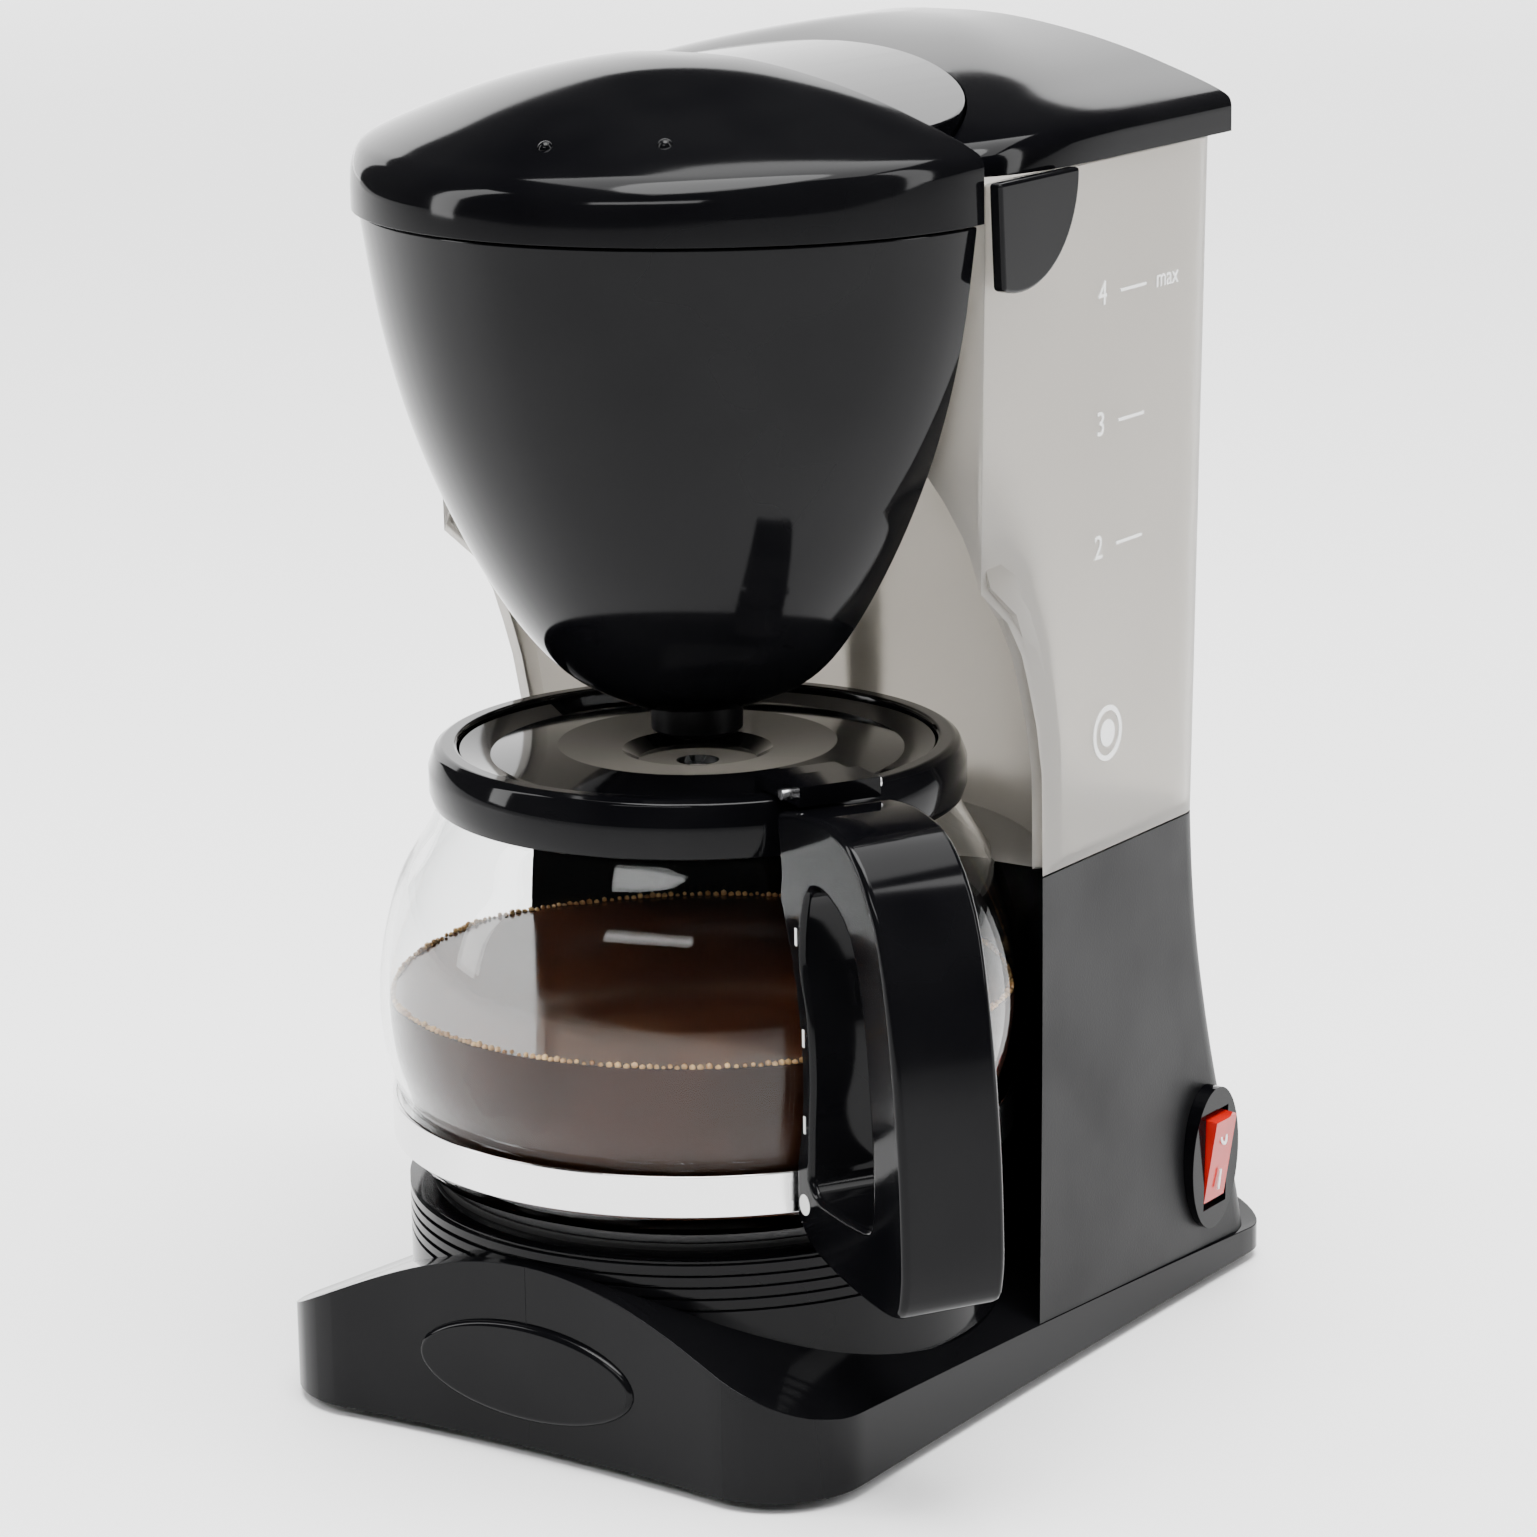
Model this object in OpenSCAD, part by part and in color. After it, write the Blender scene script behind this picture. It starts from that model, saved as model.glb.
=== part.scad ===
// Drip coffee maker: front is -Y, the hand grip of the filter holder is on +X, up is +Z, millimetres

/* [Overall] */
// width of the base across its corners
base_w = 123; // [120:1:135]
// front corners of the base, in front of the carafe axis
base_front = 60; // [59:1:68]
// back of the base, behind the carafe axis
base_back = 113; // [110:1:120]
// height of the lid crowns
top_z = 250; // [246:1:262]
// width of the water tank at its foot
tank_w = 118; // [116:0.5:121]
// back of the water tank, behind the carafe axis
tank_back = 88; // [84:1:92]

/* [Base] */
// base height in the middle of the front
hump_mid = 37; // [34:1:38]
// base height at the corners
hump_side = 17; // [15:1:20]
// fall of the base top to the back, degrees
hump_fall = 3.4; // [2:0.5:5]
// wall of the mouldings
wall = 2.4; // [2:0.1:3]
// height of the feet
foot_h = 2; // [1.5:0.25:3]
// pedestal radius
ped_r = 56; // [54:0.5:57]
// top of the warming plate
plate_z = 43; // [42:0.5:45]
// radius of the warming plate
plate_r = 50; // [46:0.5:52]

/* [Tower and tank] */
// seam between the black tower and the tank
seam_z = 98; // [94:1:104]
// top of the tank wall
tank_top = 229; // [226:1:230]
// tank wall
tank_wall = 2.2; // [1.8:0.1:2.6]
// radius of the hollow behind the carafe
bay_r = 64.5; // [64:0.5:66]
// radius of the hollow behind the filter holder
nest_r = 48.5; // [47.5:0.5:50]

/* [Filter holder] */
// half width of the holder's front at the top
holder_w = 62; // [58:0.5:64]
// depth of the holder's front at the top
holder_f = 57; // [54:0.5:60]
// radius of the round back of the holder
holder_r = 44; // [41:0.5:45]
// top of the holder
holder_z = 222.5; // [216:0.5:222.5]
// bottom of the drip nozzle
nozzle_z = 125; // [124.8:0.1:128]
// hinge pin radius
pin_r = 2; // [1.5:0.25:2.5]
// clearance around hinge pins
pin_gap = 0.06; // [0.03:0.01:0.1]

/* [Carafe] */
// widest radius of the glass
belly_r = 60.5; // [58:0.5:61.5]
// radius of the glass mouth
mouth_r = 44.5; // [42:0.5:46]
// glass wall
glass_t = 1.6; // [1.2:0.1:2.2]
// top of the carafe collar
rim_z = 123.5; // [122:0.5:124]
// reach of the handle from the carafe axis
handle_reach = 100; // [96:1:108]
// width of the handle
handle_w = 20; // [16:1:24]
// direction of the handle, degrees from the right side toward the front
handle_turn = 30; // [20:1:40]

/* [Switch] */
// height of the switch centre
switch_z = 27; // [25:1:30]
// switch position behind the carafe axis
switch_y = 87; // [82:1:89]
// height of the rocker
rocker_h = 20; // [17:0.5:21]
// width of the rocker
rocker_w = 9; // [8:0.5:11]
// clearance around the rocker
rocker_gap = 0.5; // [0.35:0.05:0.8]

/* [Hidden] */
hw = base_w / 2;
reach_x = handle_reach * cos(handle_turn) + handle_w / 2 * sin(handle_turn);
mid_x = (reach_x - max(hw, holder_w + 1)) / 2;
mid_y = (base_back - max(base_front, belly_r)) / 2;
fine = 72;
corner_r = 18;
back_r = 9;
side_bow = 0.6;
hinge_x = -(holder_w - 6.5);
hinge_y = -3;
hub_r = nest_r + 1.6;
lid_pin_y = tank_back + 4.6;
lid_pin_z = tank_top - 1;
riser_y = bay_r + tank_wall + 7.5;
pipe_x = 24 * sin(25);
pipe_y = 24 * cos(25);
pipe_z = plate_z - 7.6;
hose_z = foot_h + 11;
body_r = 8;
screw_x = hw - 15;
screw_front = base_front - 15;
screw_back = base_back - 15;
glass_z = plate_z + 0.05;
neck_z = rim_z - 10;
shower_z = tank_top + 4;
grommet_y = tank_back + 9;
grommet_z = 28;

module place() {
  translate([-mid_x, -mid_y, 0])
  children();
}
// outline of the base, drawn in by o all round
function base_pts(o) =
  let(w = hw - o, f = base_front - o, b = base_back - o, r = corner_r - o / 2, q = back_r - o / 2, n = 12)
  concat(
    [for (i = [0:n]) let(t = -1 + 2 * i / n) [t * (w - r), -f + 2 * (1 - t * t)]],
    [for (i = [1:8]) let(a = -90 + 10 * i) [w - r + r * cos(a), -f + r + r * sin(a)]],
    [for (i = [0:n]) let(t = i / n) [w - side_bow * sin(180 * t), -f + r + t * (f + b - r - q)]],
    [for (i = [1:5]) let(a = 15 * i) [w - q + q * cos(a), b - q + q * sin(a)]],
    [[w - q, b], [q - w, b]],
    [for (i = [1:5]) let(a = 90 + 15 * i) [q - w + q * cos(a), b - q + q * sin(a)]],
    [for (i = [0:n]) let(t = 1 - i / n) [side_bow * sin(180 * t) - w, -f + r + t * (f + b - r - q)]],
    [for (i = [1:8]) let(a = 180 + 10 * i) [r - w + r * cos(a), -f + r + r * sin(a)]]
  );
// arched section of the base top
function hump_pts(d) = concat(
  [[-hw - 10, -60]],
  [for (i = [-14:14]) let(x = i * (hw + 10) / 14, c = cos(min(90, abs(x) * 90 / hw)))
    [x, hump_side - d + (hump_mid - hump_side) * pow(c, 1.2)]],
  [[hw + 10, -60]]
);
module base_block(o, d, z0) {
  intersection() {
    translate([0, 0, z0])
    linear_extrude(60)
    polygon(base_pts(o));
    translate([0, -base_front, 0])
    rotate([-hump_fall, 0, 0])
    translate([0, 260, 0])
    rotate([90, 0, 0])
    linear_extrude(300)
    polygon(hump_pts(d));
  }
}
// closed skin through rings of the same count of points
module loft(rings) {
  n = len(rings[0]);
  m = len(rings);
  pts = [for (r = rings) for (p = r) p];
  low = [for (i = [n - 1:-1:0]) i];
  high = [for (i = [0:n - 1]) (m - 1) * n + i];
  sides = [for (k = [0:m - 2]) for (i = [0:n - 1]) let(j = (i + 1) % n, a = k * n + i, b = k * n + j)
    each [[a, b, b + n], [a, b + n, a + n]]];
  polyhedron(points = pts, faces = [for (f = concat([low], sides, [high])) [for (i = [len(f) - 1:-1:0]) f[i]]], convexity = 6);
}
// ring with a bowed front and a straight back, e sets how square it is
function d_ring(w, f, y, z, e = 2, n = 26) = concat(
  [for (i = [0:n]) let(a = 180 + 180 * i / n, c = cos(a), s = abs(sin(a)))
    [w * sign(c) * pow(abs(c), 2 / e), y - f * pow(s, 2 / e), z]]);
// ring with rounded corners from front y0 to back y1
function box_ring(w, y0, y1, r, z) = [for (k = [0:3]) for (i = [0:6])
  let(a = 180 + 90 * k + 15 * i, cx = (k == 0 || k == 3) ? r - w : w - r, cy = (k < 2) ? y0 + r : y1 - r)
  [cx + r * cos(a), cy + r * sin(a), z]];

// ---------- base
module base_housing() {
  color([0.02, 0.02, 0.022])
  place()
  difference() {
    union() {
      difference() {
        union() {
          base_block(0, 0, foot_h);
          translate([0, 0, foot_h + 6])
          cylinder(r = ped_r, h = plate_z - 8.6 - foot_h, $fn = fine);
        }
        base_block(wall, wall, -1);
        translate([0, 0, -1])
        cylinder(r = ped_r - wall, h = plate_z - 2.6 - wall + 1, $fn = fine);
      }
      intersection() {
        base_block(1, 1, foot_h + 2.4);
        for (x = [-screw_x, screw_x], y = [-screw_front, screw_back])
        translate([x, y, 0])
        cylinder(r = 4.2, h = 50, $fn = 32);
      }
    }
    translate([0, 0, 20])
    cylinder(r = plate_r - 3.5, h = 40, $fn = fine);
    translate([0, 0, plate_z - 3.6])
    cylinder(r = plate_r + 0.8, h = 10, $fn = fine);
    for (x = [-screw_x, screw_x], y = [-screw_front, screw_back])
    translate([x, y, foot_h])
    cylinder(r = 1.5, h = 9, $fn = 24);
    for (x = [-pipe_x, pipe_x])
    translate([x, riser_y, 5])
    cylinder(r = 7.6, h = 60, $fn = 36);
  }
}
module front_pad() {
  color([0.03, 0.03, 0.032])
  place()
  difference() {
    translate([0, -base_front + 4.5, hump_mid * 0.45])
    rotate([90, 0, 0])
    linear_extrude(4)
    polygon([for (i = [0:59]) [24 * cos(6 * i), 9.2 * sin(6 * i)]]);
    base_block(0, 0, foot_h);
  }
}
module bottom_cover() {
  color([0.05, 0.05, 0.05])
  place()
  difference() {
    translate([0, 0, foot_h + 0.2])
    linear_extrude(2)
    polygon(base_pts(wall + 0.6));
    for (x = [-screw_x, screw_x], y = [-screw_front, screw_back])
    translate([x, y, 0])
    cylinder(r = 1.8, h = 9, $fn = 24);
    for (i = [-4:4])
    translate([i * 6 - 1, -18, 0])
    cube([2, 36, 9]);
    for (x = [-screw_x, screw_x], y = [-screw_front, screw_back])
    translate([x * 0.96, y - 13 * sign(y), -1])
    cylinder(r = 3, h = 9, $fn = 24);
  }
}
module feet() {
  color([0.04, 0.04, 0.04])
  place()
  for (x = [-screw_x, screw_x], y = [-screw_front, screw_back])
  translate([x * 0.96, y - 13 * sign(y), 0]) {
    cylinder(r = 7, h = foot_h + 0.2, $fn = 36);
    cylinder(r = 2.98, h = foot_h + 2.2, $fn = 24);
    translate([0, 0, foot_h + 2.2])
    cylinder(r = 4, h = 1, $fn = 24);
  }
}
module bottom_screws() {
  color([0.6, 0.6, 0.62])
  place()
  for (x = [-screw_x, screw_x], y = [-screw_front, screw_back])
  translate([x, y, foot_h - 1.2]) {
    difference() {
      cylinder(r = 3, h = 1.4, $fn = 32);
      for (a = [0, 90])
      rotate([0, 0, a])
      translate([-2, -0.35, -1])
      cube([4, 0.7, 1.8]);
    }
    translate([0, 0, 1.3])
    cylinder(r = 1.48, h = 8, $fn = 24);
  }
}
module warming_plate() {
  color([0.03, 0.03, 0.03])
  place()
  translate([0, 0, plate_z - 1.4])
  cylinder(r = plate_r, h = 1.4, $fn = fine);
}
module plate_gasket() {
  color([0.1, 0.1, 0.1])
  place()
  difference() {
    translate([0, 0, plate_z - 3.5])
    cylinder(r = plate_r + 0.7, h = 2.1, $fn = fine);
    translate([0, 0, plate_z - 9])
    cylinder(r = plate_r - 3.5, h = 20, $fn = fine);
  }
}
// bent rod below the plate, open toward the back
module under_plate_arc(r, d, z) {
  translate([0, 0, z])
  rotate([0, 0, 115])
  rotate_extrude(angle = 310, $fn = fine)
  translate([r, 0])
  circle(r = d, $fn = 24);
}
module heating_element() {
  color([0.7, 0.7, 0.72])
  place() {
    difference() {
      under_plate_arc(35, 4.3, plate_z - 5.8);
      translate([-60, -60, plate_z - 1.42])
      cube([120, 120, 9]);
    }
    for (a = [115, 65])
    rotate([0, 0, a])
    translate([35, 0, plate_z - 5.8])
    rotate([90 * sign(a - 90), 0, 0])
    translate([0, 0, -1.5])
    cylinder(r = 1.2, h = 8, $fn = 20);
  }
}
module heater_tube() {
  color([0.75, 0.75, 0.77])
  place()
  difference() {
    union() {
      under_plate_arc(24, 3.2, pipe_z);
      for (x = [-pipe_x, pipe_x])
      translate([x, pipe_y, pipe_z - 16])
      cylinder(r = 3.64, h = 19.7, $fn = 24);
    }
    under_plate_arc(24, 2.2, pipe_z);
    for (x = [-pipe_x, pipe_x])
    translate([x, pipe_y, pipe_z - 17])
    cylinder(r = 2.6, h = 19, $fn = 24);
  }
}
module heater_clamp() {
  color([0.62, 0.62, 0.64])
  place() {
    translate([-45, -5, plate_z - 13.2])
    cube([90, 10, 1.6]);
    for (s = [-1, 1])
    translate([s * 42.2, 0, plate_z - 11.6])
    cylinder(r = 2.5, h = 10.2, $fn = 24);
  }
}
module thermostat() {
  color([0.75, 0.72, 0.66])
  place()
  translate([0, -12, plate_z - 8.4]) {
    cylinder(r = 8, h = 7, $fn = 36);
    for (s = [-1, 1])
    translate([s * 5 - 1.5, -0.4, -3.2])
    cube([3, 0.8, 3.3]);
  }
}
module thermal_fuse() {
  color([0.85, 0.83, 0.75])
  place()
  translate([-9, 12, plate_z - 5.2])
  rotate([0, 90, 0])
  cylinder(r = 2.2, h = 18, $fn = 24);
}
// ---------- water path
module hose(s, d, grow) {
  translate([s * pipe_x, pipe_y, hose_z])
  cylinder(r = d, h = pipe_z - 6 - hose_z + grow, $fn = 24);
  translate([s * pipe_x, pipe_y, hose_z])
  sphere(r = d, $fn = 24);
  translate([s * pipe_x, pipe_y, hose_z])
  rotate([-90, 0, 0])
  cylinder(r = d, h = riser_y - pipe_y, $fn = 24);
  translate([s * pipe_x, riser_y, hose_z])
  sphere(r = d, $fn = 24);
  translate([s * pipe_x, riser_y, hose_z])
  cylinder(r = d, h = seam_z - 8 - hose_z + grow, $fn = 24);
}
module inlet_hose() {
  color([0.85, 0.85, 0.82, 0.8])
  place()
  difference() {
    hose(1, 5.6, 0);
    hose(1, 3.68, 1);
  }
}
module outlet_hose() {
  color([0.85, 0.85, 0.82, 0.8])
  place()
  difference() {
    hose(-1, 5.6, 0);
    hose(-1, 3.68, 1);
  }
}
module hose_clips() {
  color([0.7, 0.7, 0.7])
  place()
  for (s = [-1, 1], q = [[pipe_y, pipe_z - 10], [riser_y, seam_z - 12.5]])
  translate([s * pipe_x, q[0], q[1]])
  difference() {
    cylinder(r = 6.5, h = 2.4, $fn = 30);
    translate([0, 0, -1])
    cylinder(r = 5.62, h = 9, $fn = 30);
  }
}
module check_valve() {
  color([0.8, 0.1, 0.08])
  place()
  translate([pipe_x, riser_y, seam_z - 40])
  difference() {
    cylinder(r = 3.65, h = 9, $fn = 24);
    translate([0, 0, -1])
    cylinder(r = 1.5, h = 11, $fn = 24);
  }
}
module riser_tube() {
  x = -pipe_x;
  color([0.88, 0.88, 0.86])
  place()
  difference() {
    union() {
      translate([x, riser_y, seam_z - 18])
      cylinder(r = 3.65, h = shower_z - seam_z + 18, $fn = 24);
      translate([x, riser_y, shower_z])
      sphere(r = 3.65, $fn = 24);
    }
    translate([x, riser_y, seam_z - 19])
    cylinder(r = 2.4, h = shower_z - seam_z + 19, $fn = 24);
    translate([x, riser_y, shower_z])
    rotate([90, 0, 0])
    cylinder(r = 2.4, h = 9, $fn = 24);
  }
}
module riser_seal() {
  color([0.2, 0.2, 0.2])
  place()
  translate([-pipe_x, riser_y, seam_z])
  difference() {
    union() {
      translate([0, 0, -1.4])
      cylinder(r = 7.5, h = 1.8, $fn = 36);
      translate([0, 0, 0.3])
      cylinder(r = 5.5, h = tank_wall + 1.2, $fn = 36);
    }
    translate([0, 0, -5])
    cylinder(r = 3.7, h = 20, $fn = 36);
  }
}
module water_spout() {
  x = -pipe_x;
  len = riser_y + 0.2;
  turn = atan2(-x, len);
  color([0.03, 0.03, 0.03])
  place() {
    difference() {
      translate([0, 0, shower_z])
      rotate([0, 0, turn])
      rotate([-90, 0, 0])
      difference() {
        cylinder(r = 3.4, h = sqrt(x * x + len * len) - 4, $fn = 24);
        translate([0, 0, -1])
        cylinder(r = 2.2, h = sqrt(x * x + len * len), $fn = 24);
      }
      translate([0, 0, shower_z - 10])
      cylinder(r = 8, h = 20, $fn = 36);
    }
    difference() {
      union() {
        translate([0, 0, shower_z - 4])
        cylinder(r = 8, h = 8.5, $fn = 36);
        translate([0, 0, shower_z - 7])
        cylinder(r = 17, h = 3.2, $fn = 48);
      }
      translate([0, 0, shower_z - 5.6])
      cylinder(r = 6.4, h = 8.6, $fn = 36);
      for (a = [0:60:300])
      rotate([0, 0, a])
      translate([5, 0, shower_z - 8])
      cylinder(r = 0.9, h = 6, $fn = 16);
      translate([0, 0, shower_z])
      rotate([0, 0, turn])
      rotate([-90, 0, 0])
      cylinder(r = 2.2, h = 12, $fn = 24);
    }
  }
}
module wiring() {
  color([0.5, 0.5, 0.52])
  place()
  for (s = [0, 1]) {
    translate([30 + 5 * s, 30, 9.5])
    rotate([-90, 0, 0])
    cylinder(r = 1.1, h = switch_y - 34, $fn = 16);
    translate([30 + 5 * s, 30, 9.5])
    sphere(r = 1.1, $fn = 16);
    translate([30 + 5 * s, 30, 9.5])
    cylinder(r = 1.1, h = plate_z - 26 - 4 * s, $fn = 16);
  }
}
module cord_grommet() {
  color([0.03, 0.03, 0.03])
  place()
  translate([-34, grommet_y, grommet_z])
  rotate([-90, 0, 0])
  difference() {
    cylinder(r = 4.98, h = 10, $fn = 36);
    translate([0, 0, -1])
    cylinder(r = 3, h = 20, $fn = 36);
  }
}
// ---------- tower and tank
module tower_form(o) {
  loft([for (q = [[-2, 1.85, 22], [8, 1.75, 20.4], [20, 1.5, 17], [34, 1.1, 12.4], [46, 0.8, 8.6], [58, 0.5, 5.4],
    [72, 0.25, 2.5], [86, 0.05, 0.8], [1000, 0, 0]])
    let(z = min(q[0], seam_z + (o > 0 ? 5 : 0)))
    box_ring(tank_w / 2 + q[1] - o, 15 + o, tank_back + q[2] - o, body_r - o / 2, z)]);
}
module tower_shell() {
  color([0.025, 0.025, 0.027])
  place()
  difference() {
    tower_form(0);
    tower_form(wall);
    translate([0, 0, -5])
    cylinder(r = bay_r, h = 200, $fn = fine);
    base_block(-9, -0.15, -20);
    translate([-34, grommet_y - 10, grommet_z])
    rotate([-90, 0, 0])
    cylinder(r = 5, h = 40, $fn = 36);
    switch_cut(0.1);
  }
  color([0.025, 0.025, 0.027])
  place()
  difference() {
    intersection() {
      translate([0, 0, 4])
      cylinder(r = bay_r + wall, h = seam_z - 4, $fn = fine);
      tower_form(0.5);
    }
    cylinder(r = bay_r, h = 200, $fn = fine);
    base_block(-9, -0.15, -20);
  }
}
// the hollow that the carafe and the holder stand and swing in, grown by o
module front_hollow(o) {
  rotate_extrude($fn = fine)
  polygon([[0, 60], [bay_r + o, 60], [bay_r + o, 118], [bay_r + o - 0.7, 128], [bay_r + o - 2.2, 142],
    [bay_r + o - 4.4, 156], [bay_r + o - 7.5, 165], [bay_r + o - 12, 172], [nest_r + o, 177],
    [nest_r + o, 300], [0, 300]]);
  translate([hinge_x, hinge_y, 150])
  cylinder(r = 9.2 + o, h = 120, $fn = 48);
}
module tank_side(o) {
  translate([-100, 3 + o, seam_z - 10])
  cube([200, 120, tank_top - seam_z + 10 + (o > 0 ? 9 : 0)]);
}
module tank_skin(o) {
  loft([for (q = [[seam_z + 0.4, 0], [tank_top + 12, 2.6]])
    box_ring(tank_w / 2 + q[1] - o, -20, tank_back + q[1] / 2 - o, body_r - o / 2, q[0])]);
}
module tank_form(o) {
  difference() {
    intersection() {
      tank_skin(o);
      tank_side(o);
    }
    front_hollow(o);
  }
}
module water_tank() {
  color([0.55, 0.54, 0.5, 0.6])
  place() {
    difference() {
      union() {
        tank_form(0);
        hinge_lug(0);
        translate([pipe_x, riser_y, seam_z - 18])
        cylinder(r = 3.65, h = 19, $fn = 24);
      }
      difference() {
        tank_form(tank_wall);
        cube([300, 300, 2 * (seam_z + 0.4 + tank_wall)], center = true);
      }
      translate([pipe_x, riser_y, seam_z - 20])
      cylinder(r = 2.4, h = 40, $fn = 24);
      translate([-pipe_x, riser_y, seam_z - 5])
      cylinder(r = 5.52, h = 15, $fn = 36);
      translate([hinge_x, hinge_y, 187])
      cylinder(r = pin_r, h = 40, $fn = 32);
    }
    for (s = [-1, 1])
    translate([s * 30 - 5, 0, 0])
    lid_lug(10);
  }
}
// lug on the left of the tank that carries the pin of the filter holder
module hinge_lug(o) {
  difference() {
    union() {
      translate([hinge_x, hinge_y, 184])
      cylinder(r = 4.6, h = 13.5, $fn = 36);
      translate([hinge_x - 3.5, hinge_y + 2, 184])
      cube([7, 7.6, 13.5]);
    }
    front_hollow_round(0);
  }
}
module front_hollow_round(o) {
  translate([0, 0, 180])
  cylinder(r = nest_r + o, h = 60, $fn = fine);
}
module lid_lug(w) {
  difference() {
    union() {
      translate([0, lid_pin_y, lid_pin_z])
      rotate([0, 90, 0])
      cylinder(r = 3.2, h = w, $fn = 32);
      translate([0, tank_back - 1.2, lid_pin_z - 9])
      cube([w, 3.1, 9]);
      translate([0, tank_back + 0.4, lid_pin_z - 2.7])
      cube([w, 3.8, 2.4]);
    }
    translate([-1, lid_pin_y, lid_pin_z])
    rotate([0, 90, 0])
    cylinder(r = pin_r, h = w + 2, $fn = 32);
  }
}
module tank_marks() {
  color([0.93, 0.93, 0.92])
  place()
  difference() {
    for (z = [204.1, 179.9, 156.7])
    translate([0, 51, z])
    cube([tank_w / 2 + 0.3 + 2.6 * (z - seam_z) / (tank_top + 12 - seam_z), 9.5, 0.6]);
    tank_skin(0);
  }
}
// ---------- lids
module lid_arch(o, y, f, e, z0) {
  h = top_z - z0;
  loft([for (q = [[0, 1, 1], [0.15, 1, 0.985], [0.27, 0.998, 0.94], [0.345, 0.978, 0.885], [0.45, 0.9, 0.8],
    [0.57, 0.79, 0.69], [0.7, 0.66, 0.56], [0.82, 0.51, 0.425], [0.92, 0.345, 0.29], [0.98, 0.2, 0.17], [1, 0.08, 0.09]])
    d_ring(max(1, (holder_w + 1) * q[1] - o), max(0.5, f * q[2] - o), y - o, z0 + h * q[0] - o, e)]);
}
// way through both covers for the spout arm
module arm_way() {
  translate([-14, 20, tank_top - 4])
  cube([16, 50, shower_z + 5.2 - tank_top + 4]);
}
module tank_lid() {
  color([0.02, 0.02, 0.022])
  place() {
    difference() {
      lid_arch(0, tank_back + 1.5, tank_back - 0.3, 7, tank_top + 0.6);
      for (z = [-0.01, -2])
      translate([0, 0, z])
      lid_arch(2, tank_back + 1.5, tank_back - 0.3, 7, tank_top + 0.6);
      translate([0, 0, tank_top - 10])
      cylinder(r = hub_r + 0.7, h = 80, $fn = 96);
      translate([hinge_x, hinge_y, tank_top - 10])
      cylinder(r = 9.2, h = 80, $fn = 48);
    }
    difference() {
      intersection() {
        lid_arch(0, tank_back + 1.5, tank_back - 0.3, 7, tank_top + 0.6);
        translate([0, 0, tank_top - 10])
        cylinder(r = hub_r + 2.7, h = 80, $fn = 96);
      }
      translate([0, 0, tank_top - 10])
      cylinder(r = hub_r + 0.7, h = 80, $fn = 96);
      translate([hinge_x, hinge_y, tank_top - 10])
      cylinder(r = 9.2, h = 80, $fn = 48);
      arm_way();
    }
    difference() {
      union() {
        translate([-24.5, lid_pin_y, lid_pin_z])
        rotate([0, 90, 0])
        cylinder(r = 3.2, h = 49, $fn = 32);
        translate([-24.5, tank_back - 0.3, lid_pin_z + 2.2])
        cube([49, 4.6, 2.6]);
      }
      translate([-40, lid_pin_y, lid_pin_z])
      rotate([0, 90, 0])
      cylinder(r = pin_r + pin_gap, h = 80, $fn = 32);
      translate([-40, tank_back - 1, lid_pin_z - 5])
      cube([80, 2.7, 6.9]);
    }
  }
}
module tank_lid_pin() {
  color([0.7, 0.7, 0.7])
  place()
  translate([-35, lid_pin_y, lid_pin_z])
  rotate([0, 90, 0])
  cylinder(r = pin_r, h = 70, $fn = 32);
}
module brew_cover() {
  z0 = holder_z + 5;
  color([0.02, 0.02, 0.022])
  place()
  difference() {
    union() {
      lid_arch(0, 0, holder_f + 1.5, 1.95, z0);
      translate([0, 0, holder_z + 0.4])
      linear_extrude(4.62)
      polygon([for (p = d_ring(holder_w + 1, holder_f + 1.5, 0, 0, 1.95)) [p[0], p[1]]]);
    }
    translate([0, 0, -0.6])
    lid_arch(2.2, 0, holder_f + 1.5, 1.95, z0);
    translate([0, 0, holder_z - 1])
    linear_extrude(z0 - holder_z - 1.2)
    polygon([for (p = d_ring(holder_w - 1.2, holder_f - 0.7, -2.2, 0, 1.95)) [p[0], p[1]]]);
    translate([-42, -20, holder_z - 1])
    cube([84, 40, shower_z + 6 - holder_z]);
  }
}
// fixed round hub between the front cover and the tank lid
module spout_hub() {
  color([0.02, 0.02, 0.022])
  place()
  difference() {
    hub_form(0);
    translate([0, -4, -0.1])
    hub_form(2);
    arm_way();
  }
}
module hub_form(o) {
  w = 64;
  intersection() {
    translate([0, 100, 0])
    rotate([90, 0, 0])
    linear_extrude(100 - 1.2)
    polygon(concat([[-w, tank_top + 0.2]],
      [for (i = [-12:12]) let(x = i / 12) [x * w, tank_top + 4 - o + (top_z - tank_top - 6.5) * cos(84 * x)]],
      [[w, tank_top + 0.2]]));
    cylinder(r = hub_r - o, h = 400, $fn = 96);
  }
}
// ---------- filter holder
prof = [[0, 0.2, 0.22], [0.05, 0.37, 0.38], [0.12, 0.5, 0.49], [0.24, 0.63, 0.62], [0.4, 0.76, 0.75],
  [0.58, 0.87, 0.86], [0.78, 0.95, 0.94], [1, 1, 1]];
holder_low = nozzle_z + 6;
module holder_front(o, cap) {
  loft([for (q = prof) let(z = holder_low + (holder_z - holder_low) * q[0])
    d_ring(holder_w * q[1] - o, holder_f * q[2] - o, o < 0 ? 3 : (o > 0 ? -1.6 : -0.5), q[0] == 1 ? z + cap : z + o, 1.9)]);
}
module holder_back(o, cap) {
  rotate_extrude($fn = fine)
  polygon(concat([[0, holder_low + o]],
    [for (q = prof) [max(3, holder_r * min(1, q[1] * 1.12) - o), q[0] == 1 ? holder_z + cap : holder_low + o + (holder_z - holder_low) * q[0]]],
    [[0, holder_z + cap]]));
}
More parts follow.
